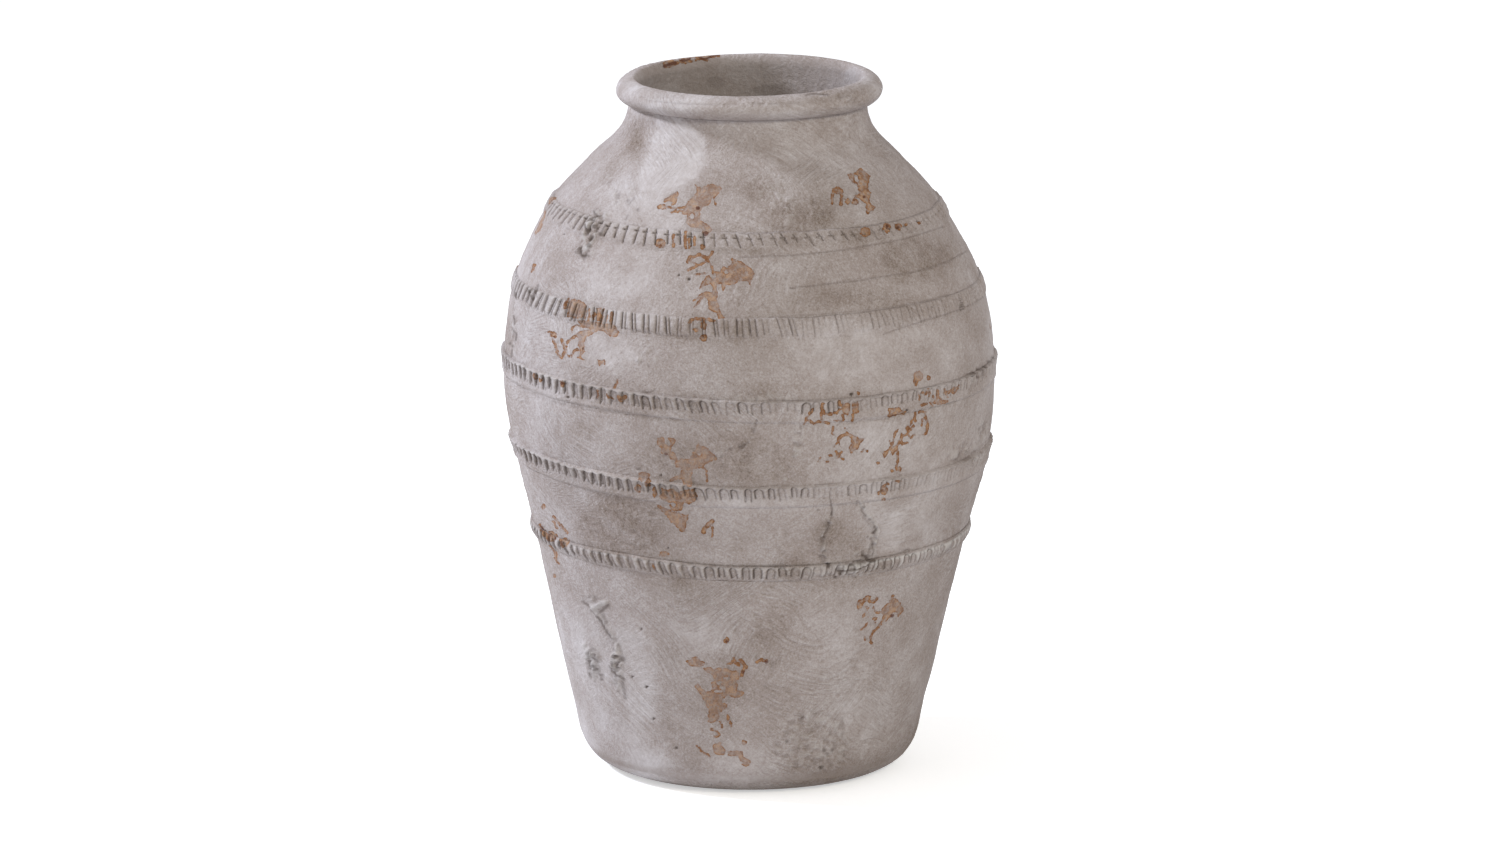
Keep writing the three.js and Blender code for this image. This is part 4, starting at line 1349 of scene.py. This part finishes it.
def work_band(ring, band, press, joint):
    """Lays a band on the wall and presses its notches."""
    seed = band["notches"]
    width = band["width"]
    here = {
        part: np.interp(ring.angle, PRESS_AT, values, period=2 * math.pi)
        for part, values in press.items() if isinstance(values, tuple)
    }
    front = outer_depth(ring) < 0.4
    along = along_at(ring.height)
    ring.slide(*(wall_point(along - here["sway"]) - wall_point(along)).T)
    spots = ring.turned
    below = joint + width / 2 - along + 0.5 * mottle(spots, 17, seed + 3)
    off_middle = below - width / 2
    pitch = 2 * math.pi * ring.radius / seed
    slant = here["slant"] * off_middle / pitch
    turn = ring.angle / (2 * math.pi) * seed + 0.25 * mottle(spots, 30, seed) + slant
    index = np.floor(turn)
    jitter = [chance(index, seed + more) - 0.5 for more in range(6)]
    across = (turn - index - 0.5 + 0.2 * jitter[0]) * pitch + 0.25 * jitter[1] * off_middle
    differ = jitter[2] + 0.5 * mottle(spots, 22, seed + 2)
    deep = np.clip(1 + here["uneven"] * differ, 0.12, 1.5)
    half = here["half"] * (1 + 0.5 * jitter[3])
    start = here["start"] + 1.2 * jitter[4]
    end = here["end"] + 3.0 * jitter[5]

    # The pressed line, the dash across it, the hollow inside the loop and the lobe between two loops
    off = arch(across, below, half, start, end)
    groove = deep * np.where(across < 0, 1.0, 0.6) * np.exp(-((off / here["line"]) ** 2))
    groove = groove * ease(below, 0.2, 1.4)
    if "dash" in press:
        stroke = np.exp(-(((below - here["dash"] - 0.8 * jitter[4]) / 0.45) ** 2))
        stroke = stroke * ease(across, -3.0, -2.2) * (1 - ease(across, 0.5, 1.3))
        groove = np.maximum(groove, 1.2 * deep * stroke)
    slot = ease(half - np.abs(across), 0, 0.8) * ease(below, start, start + 1.5)
    slot = slot * (1 - ease(below, end - 2.5, end))
    hollow = here["hollow"] * deep * slot * (0.65 - 0.35 * across / np.maximum(half, 0.5))
    lobe = deep * ease(np.abs(across), half + 0.4, pitch / 2) * ease(below, 1, 3)
    lobe = lobe * (1 - ease(below, end - 2, end))

    # The face of the band, dirt and painted shade in its low places, and pale wash and painted highlight
    # on its crests
    proud = press["section"](below, width) - press["depth"] * groove - hollow + 0.25 * lobe
    proud = np.where(front, proud, 0)
    proud = proud + 0.15 * mottle(spots, 3.0, seed + 4) * ease(proud, 0.1, 0.8)
    # painted shade, with some dirt, in the crease along the band's upper edge
    crease = here["crease"] * np.exp(-((below / 0.8) ** 2))
    crease = crease * ease(mottle(spots, 10, seed + 5), -0.5, 0.2)
    dirt_and_shade = np.where(front, here["dark"] * (0.9 * groove + 0.4 * hollow) + 0.6 * crease, 0)
    edge = ease(below, 0.5, 1.1) * (1 - ease(below, 1.7, 2.7))
    pale_crest_and_highlight = np.where(front, here["pale_and_highlight"] * (lobe + 1.2 * deep * edge), 0)
    wear_and_painted_light(ring, front * 1.0, proud + hand_wobble(spots), dirt_and_shade, pale_crest_and_highlight)
    ring.note(inside=0.0)


# Shader wiring

class Value:
    """One output of a node, with arithmetic that adds Math nodes."""

    def __init__(self, finish, socket):
        self.finish = finish
        self.socket = socket

    def worked(self, operation, first, second):
        return self.finish.add("ShaderNodeMath", {"operation": operation}, {0: first, 1: second})

    def __add__(self, other):
        return self.worked("ADD", self, other)

    def __radd__(self, other):
        return self.worked("ADD", other, self)

    def __sub__(self, other):
        return self.worked("SUBTRACT", self, other)

    def __rsub__(self, other):
        return self.worked("SUBTRACT", other, self)

    def __mul__(self, other):
        return self.worked("MULTIPLY", self, other)

    def __rmul__(self, other):
        return self.worked("MULTIPLY", other, self)

    def __or__(self, other):
        return self.worked("MAXIMUM", self, other)


class Finish:
    """The nodes of a material or of the world."""

    def __init__(self, owner):
        owner.use_nodes = True
        self.tree = owner.node_tree
        self.tree.nodes.clear()

    def add(self, kind, settings=None, sockets=None, out=0):
        """Adds a node: its settings first, then the values or links of its sockets."""
        node = self.tree.nodes.new(kind)
        for key, value in (settings or {}).items():
            setattr(node, key, value)
        for key, value in (sockets or {}).items():
            if isinstance(value, Value):
                self.tree.links.new(value.socket, node.inputs[key])
            else:
                node.inputs[key].default_value = value
        return Value(self, node.outputs[out]) if node.outputs else None

    def note(self, name):
        """The number that a piece keeps for each of its points under a name."""
        return self.add("ShaderNodeAttribute", {"attribute_name": name}, out="Fac")

    def noise(self, place, scale, detail=2.0, rough=0.5):
        sockets = {"Vector": place, "Scale": scale, "Detail": detail, "Roughness": rough}
        return self.add("ShaderNodeTexNoise", {}, sockets, out="Fac")

    def ease(self, value, low, high, way="SMOOTHSTEP"):
        sockets = {"Value": value, "From Min": low, "From Max": high}
        return self.add("ShaderNodeMapRange", {"interpolation_type": way}, sockets)

    def mix(self, share, first, second, way="MIX"):
        settings = {"data_type": "RGBA", "blend_type": way}
        return self.add("ShaderNodeMix", settings, {0: share, 6: first, 7: second}, out=2)

    def stretched(self, place, turn, size):
        """Places for a pattern that is turned, with its lumps of the given lengths in metres."""
        sockets = {"Vector": place, "Rotation": turn, "Scale": size}
        return self.add("ShaderNodeMapping", {"vector_type": "TEXTURE"}, sockets)

    def seen(self):
        """1 for what the camera sees itself, in a gloss or through glass."""
        ways = ("Is Camera Ray", "Is Glossy Ray", "Is Transmission Ray")
        camera, gloss, through_glass = (self.add("ShaderNodeLightPath", out=way) for way in ways)
        return camera | gloss | through_glass


def tone(red, green, blue):
    """A colour as read off a screen, 0 to 255, for a shader's socket."""
    def lit(level):
        level = level / 255
        return level / 12.92 if level <= 0.04045 else ((level + 0.055) / 1.055) ** 2.4
    return (lit(red), lit(green), lit(blue), 1.0)


# Colours as read off a screen
WASH_DARK = tone(112, 96, 80)
WASH = tone(162, 151, 147)
WASH_PALE = tone(208, 203, 204)
WASH_FLECK = tone(92, 82, 74)
WASH_WARM = tone(176, 152, 130)
CLAY_DARK = tone(124, 86, 56)
CLAY = tone(168, 131, 98)
CLAY_PORE = tone(92, 60, 40)
CLAY_EDGE = tone(126, 80, 44)
CLAY_BURNT = tone(84, 46, 32)
CHALK_AND_HIGHLIGHT = tone(196, 191, 188)
GRIME_AND_SHADE = tone(70, 57, 48)
THROAT_DUST_AND_SHADE = tone(132, 120, 110)


def brush_strokes(nodes, place):
    """Streaks of the brush along a swept grain, in two directions that take turns."""
    waves = {"Vector": place, "Scale": 14.0, "Detail": 1.0}
    sweep = nodes.add("ShaderNodeTexNoise", {}, waves, out="Color")
    bent = {0: sweep, 1: (0.05, 0.05, 0.05), 2: place}
    swept = nodes.add("ShaderNodeVectorMath", {"operation": "MULTIPLY_ADD"}, bent)
    up = nodes.noise(nodes.stretched(swept, (0.0, -0.8, 0.2), (0.03, 0.006, 0.0013)), 1, 3, 0.55)
    down = nodes.noise(nodes.stretched(swept, (0.3, 0.7, -0.2), (0.026, 0.006, 0.0012)), 1, 3, 0.55)
    turned = nodes.ease(nodes.noise(place, 22, 1), 0.42, 0.58)
    return up + (down - up) * turned


def lime_wash(name):
    """Chalky wash brushed over fired clay, worn through where the note bare is above 0."""
    material = bpy.data.materials.new(name)
    nodes = Finish(material)
    place = nodes.add("ShaderNodeTexCoord", out="Object")
    patch = nodes.noise(place, 34, 6, 0.62)
    lace = nodes.noise(place, 330, 4, 0.6)
    fine = nodes.noise(place, 760, 3, 0.65)
    grain = nodes.noise(place, 1700, 2, 0.6)
    brush = brush_strokes(nodes, place)
    stain_and_light = nodes.note("stain_and_light")
    hidden = nodes.note("inside")

    # The wash, dark and coarse where it is stained, pale and smooth where it lies thick or where light is
    # painted
    coarse = (nodes.ease(stain_and_light, 1.0, -1.0, "LINEAR") * 1.5 + 0.35) * (1 - hidden * 0.6)
    brushed = (0.2 + nodes.ease(nodes.noise(place, 12, 2), 0.42, 0.6) * 0.4) * (1 - hidden * 0.8)
    level = stain_and_light * 0.22 + (patch - 0.5) * 0.5 + (brush - 0.5) * brushed + (lace - 0.5) * 0.35
    level = level + ((fine - 0.5) * 0.6 + (grain - 0.5) * 0.35) * coarse
    wash = nodes.mix(nodes.ease(level, -0.5, 0.0, "LINEAR"), WASH_DARK, WASH)
    wash = nodes.mix(nodes.ease(level, 0.0, 0.5, "LINEAR"), wash, WASH_PALE)
    fleck = nodes.noise(nodes.stretched(place, (0.4, 0.7, 0.0), (0.004, 0.002, 0.0012)), 1, 2)
    wash = nodes.mix(nodes.ease(fleck, 0.66, 0.76) * (0.35 - stain_and_light * 0.3), wash, WASH_FLECK)
    warm = nodes.ease(nodes.noise(place, 26, 3), 0.4, 0.62)
    warm = warm * 0.12 + nodes.ease(stain_and_light, -0.05, -0.8) * 0.17
    wash = nodes.mix(warm, wash, WASH_WARM, "MULTIPLY")

    # The clay where the wash has worn off, with a redder edge around each such place
    field = nodes.note("bare") + (lace - 0.5) * 5.0 + (patch - 0.5) * 1.5 + (fine - 0.5) * 2.0
    worn = nodes.ease(field, -0.35, 0.45)
    tide = 1 - nodes.ease(field, 0.3, 1.8)
    raw = nodes.note("raw")
    film = nodes.noise(place, 210, 5, 0.68)
    clay = nodes.mix(nodes.ease(film, 0.4, 0.6), CLAY_DARK, CLAY)
    clay = nodes.mix(nodes.ease(fine, 0.5, 0.64) * 0.6, clay, CLAY_PORE)
    clay = nodes.mix(tide * 0.6, clay, CLAY_EDGE)
    share = (raw * 0.5 + 0.45 + tide * 0.3) * (0.45 + nodes.ease(lace, 0.4, 0.56) * 0.55)
    colour = nodes.mix(worn * share, wash, clay)

    # What lies over both: burnt clay, pale wash and painted highlight, dirt and painted shade, and dust
    # and painted shade in the throat
    burnt = nodes.ease(nodes.note("burnt") + (lace - 0.5) * 0.7, 0.25, 0.85)
    colour = nodes.mix(burnt * 0.85, colour, CLAY_BURNT)
    # pale wash, and painted highlight on crests, crumbs and raised lines
    colour = nodes.mix(nodes.note("chalk_and_highlight") * 0.7, colour, CHALK_AND_HIGHLIGHT)
    # dirt, and painted shade in the low places
    colour = nodes.mix(nodes.note("grime_and_shade") * 0.85, colour, GRIME_AND_SHADE)
    # painted shade, with dust, deep in the throat
    colour = nodes.mix(hidden * 0.1, colour, THROAT_DUST_AND_SHADE)

    height = (lace * 0.5 + fine * 0.3 + grain * 0.1) * (0.4 + coarse * 0.5)
    height = height + brush * brushed - worn * raw * 0.35
    bump = nodes.add("ShaderNodeBump", {}, {"Strength": 0.9, "Distance": 0.0018, "Height": height})
    rough = 0.86 + worn * 0.08
    sockets = {"Base Color": colour, "Roughness": rough, "Specular IOR Level": 0.25, "Normal": bump}
    shader = nodes.add("ShaderNodeBsdfPrincipled", {}, sockets)
    nodes.add("ShaderNodeOutputMaterial", {}, {"Surface": shader})
    return material


# Camera, light and floor

# Lamps that shine at the jar: place and width in metres, power in watts, and colour
LAMPS = {
    "window_left": dict(place=(-2.41, 0.30, 2.01), width=0.4, power=90, colour=(0.82, 0.89, 1.0)),
    "lamp_right": dict(place=(1.67, -2.89, 2.10), width=1.1, power=52, colour=(1.0, 0.98, 0.84)),
}
LAMP_AIM = (0, 0, 0.25)
AIR_COLOUR = (0.96, 0.95, 1.0, 1)
AIR_STRENGTH = 0.52
WHITE = (1, 1, 1, 1)
FLOOR_GREY = (0.85, 0.85, 0.85, 1)
FLOOR_GLOW = 0.5  # what the camera sees added to the floor's own grey, so that it is white
FLOOR_RADIUS = 14.0  # metres
FLOOR_GAP = 0.3  # millimetres from the jar down to the floor, so that no two faces fall together


def set_camera():
    """Looks at the jar as the photograph does."""
    data = bpy.data.cameras.new("photo_camera")
    data.lens = LENS
    data.sensor_width = SENSOR
    data.clip_end = 100
    camera = bpy.data.objects.new("photo_camera", data)
    camera.location = Vector(CAMERA_AT * MM)
    camera.rotation_euler = Vector(view_ahead).to_track_quat("-Z", "Y").to_euler()
    bpy.context.scene.collection.objects.link(camera)
    bpy.context.scene.camera = camera


def hang_lamp(name, place, width, power, colour):
    """A round lamp that is turned to the jar."""
    data = bpy.data.lights.new(name, "AREA")
    data.shape = "DISK"
    data.size = width
    data.energy = power
    data.color = colour
    light = bpy.data.objects.new(name, data)
    light.location = place
    light.rotation_euler = (Vector(LAMP_AIM) - Vector(place)).to_track_quat("-Z", "Y").to_euler()
    bpy.context.scene.collection.objects.link(light)


def light_studio():
    """Lamps, and air that lights the jar softly but is seen as white."""
    for name, fitting in LAMPS.items():
        hang_lamp(name, **fitting)
    world = bpy.data.worlds.new("studio_air")
    bpy.context.scene.world = world
    nodes = Finish(world)
    air = nodes.add("ShaderNodeBackground", {}, {"Color": AIR_COLOUR, "Strength": AIR_STRENGTH})
    white = nodes.add("ShaderNodeBackground", {}, {"Color": WHITE, "Strength": 1.0})
    sky = nodes.add("ShaderNodeMixShader", {}, {0: nodes.seen(), 1: air, 2: white})
    nodes.add("ShaderNodeOutputWorld", {}, {"Surface": sky})
    bpy.context.scene.view_settings.view_transform = "Standard"


def floor_paint():
    """Matt grey that is seen as white, apart from the jar's shadow on it."""
    material = bpy.data.materials.new("studio_floor")
    nodes = Finish(material)
    glow = nodes.add("ShaderNodeEmission", {}, {"Color": WHITE, "Strength": FLOOR_GLOW})
    matt = nodes.add("ShaderNodeBsdfDiffuse", {}, {"Color": FLOOR_GREY})
    both = nodes.add("ShaderNodeAddShader", {}, {0: glow, 1: matt})
    shader = nodes.add("ShaderNodeMixShader", {}, {0: nodes.seen(), 1: matt, 2: both})
    nodes.add("ShaderNodeOutputMaterial", {}, {"Surface": shader})
    return material


def lay_floor():
    """A round floor under the jar."""
    ground = bmesh.new()
    lower = Matrix.Translation((0, 0, -FLOOR_GAP * MM))
    bmesh.ops.create_circle(ground, cap_ends=True, segments=96, radius=FLOOR_RADIUS, matrix=lower)
    mesh = bpy.data.meshes.new("studio_floor")
    ground.to_mesh(mesh)
    ground.free()
    mesh.materials.append(floor_paint())
    floor = bpy.data.objects.new("studio_floor", mesh)
    bpy.context.scene.collection.objects.link(floor)


# Outlines of the pieces, as radius and height

def course_outline(low, high):
    """A wall course between two joints; the highest one ends under the rim's inner face."""
    face = wall_point(evenly(low, high, COURSE_ROWS))
    if high == wall_length:
        back = wall_point(evenly(high - NECK_BACK_DROP, low + JOINT_BEVEL, COURSE_BACK_ROWS), WALL)
        return np.vstack([face, [THROAT], back])
    back = wall_point(evenly(high + JOINT_BEVEL, low + JOINT_BEVEL, COURSE_BACK_ROWS), WALL)
    return np.vstack([face, back])


def foot_line(along, inward, level):
    """Where a straight run that leaves the wall's foot downwards meets a level."""
    spot = wall_point(along, inward)
    lean = wall_lean[0] if along <= 0 else wall_lean[np.searchsorted(wall_run, along)]
    return spot[0] + (level - spot[1]) * lean[0] / lean[1], level


def foot_outline():
    """The foot course, and the radii of the slab's seat in it, below and above."""
    around_foot = np.linspace(-40, 40, 400)
    inner = wall_point(around_foot, WALL)
    inner_start = np.interp(BASE_THICKNESS + INNER_FILLET, inner[:, 1], around_foot)
    outer_corner = foot_line(0, 0, 0)
    inner_corner = foot_line(inner_start, WALL, BASE_THICKNESS)
    seat_top = inner_corner[0] - INNER_FILLET
    seat_bottom = outer_corner[0] - FOOT_CORNER - FOOT_LAND
    curl = bow((outer_corner[0] - FOOT_CORNER, 0), outer_corner, wall_point(0), CURL_STEPS)
    face = wall_point(evenly(0, joints[0], FOOT_ROWS))[1:]
    back = wall_point(evenly(joints[0] + JOINT_BEVEL, inner_start, FOOT_BACK_ROWS), WALL)[:-1]
    fillet = bow(wall_point(inner_start, WALL), inner_corner, (seat_top, BASE_THICKNESS), FILLET_STEPS)
    return np.vstack([[(seat_bottom, 0)], curl, face, back, fillet]), seat_bottom, seat_top


def quarter(centre, reach, start, steps):
    """A quarter of an ellipse about a centre, from the start angle on."""
    turn = np.linspace(start, start + math.pi / 2, steps)
    return np.asarray(centre) + np.stack([np.cos(turn), np.sin(turn)], 1) * reach


def rim_outline():
    """The rolled rim: up its outside, over crown and lip, down into the throat and back underneath."""
    crease = wall_point(wall_length)
    widest = HEIGHT - RIM_DROP
    roll_reach = (RIM_RADIUS - crease[0], widest - crease[1])
    crown_reach = (RIM_RADIUS - CROWN_RADIUS, RIM_DROP)
    lip_reach = (CROWN_RADIUS - MOUTH_RADIUS, LIP_DROP)
    roll = quarter((crease[0], widest), roll_reach, -math.pi / 2, ROLL_STEPS)
    crown = quarter((CROWN_RADIUS, widest), crown_reach, 0, CROWN_STEPS)[1:]
    lip = quarter((CROWN_RADIUS, HEIGHT - LIP_DROP), lip_reach, math.pi / 2, LIP_STEPS)[1:]
    slope = np.linspace(lip[-1], THROAT, SLOPE_STEPS)[1:]
    under = np.linspace(THROAT, crease, UNDER_STEPS)[1:-1]
    return np.vstack([roll, crown, lip, slope, under])


def slab_outline(bottom, top):
    """The round slab, whose bevelled edge drops into the foot course's seat."""
    edge = [(bottom - SLAB_GAP, 0), (top - SLAB_GAP, BASE_THICKNESS)]
    return [(0, 0), (bottom * 0.5, 0), *edge, (0, BASE_THICKNESS)]


def band_outline(joint, width):
    """A band over a joint, with its back sunk into the wall."""
    low = joint - width / 2
    high = joint + width / 2
    face = wall_point(evenly(low, high, BAND_ROWS))
    back = wall_point(evenly(high, low, BAND_BACK_ROWS), BAND_SEAT)
    return np.vstack([face, back])


# Building the pieces

set_camera()
light_studio()
lay_floor()
wall_finish = lime_wash("wall_lime_wash")

foot, seat_bottom, seat_top = foot_outline()
slab = Ring("base_slab", slab_outline(seat_bottom, seat_top), turns=48, cuts=3, closed=False)
slab.note(bare=BARE_CLAY, raw=1.0, burnt=0.0, grime_and_shade=0.0, chalk_and_highlight=0.0, stain_and_light=0.0, inside=0.0)
slab.done(wall_finish)

foot_course = Ring("foot_course", foot, turns=75, cuts=5)
work_wall(foot_course)
foot_course.done(wall_finish)

COURSES = ("lower_belly_course", "belly_course", "upper_belly_course", "shoulder_course", "neck_course")
ends = [*joints, wall_length]
for name, low, high in zip(COURSES, ends, ends[1:]):
    course = Ring(name, course_outline(low, high), turns=100, cuts=7)
    work_wall(course)
    course.done(wall_finish, CRISP)

rim = Ring("rim_coil", rim_outline(), turns=80, cuts=8)
sunk = RIM_SINK * (0.5 + 0.5 * np.cos(rim.angle + RIM_SINK_TURN)) * ease(rim.height, CREASE, HEIGHT)
rim.move(rim.points() - np.stack([0 * sunk, 0 * sunk, sunk], 1))
wear_and_painted_light(rim, np.ones(len(rim.height)), RIM_WOBBLE * hand_wobble(rim.turned))
rim.note(inside=1 - ease(rim.radius, MOUTH_RADIUS - 0.2, CROWN_RADIUS - 1.0))
rim.done(wall_finish, CRISP)

for (name, band), joint in zip(BANDS.items(), joints):
    ring = Ring(name, band_outline(joint, band["width"]), turns=band["notches"], cuts=9)
    work_band(ring, band, PRESSES[name], joint)
    ring.done(wall_finish)
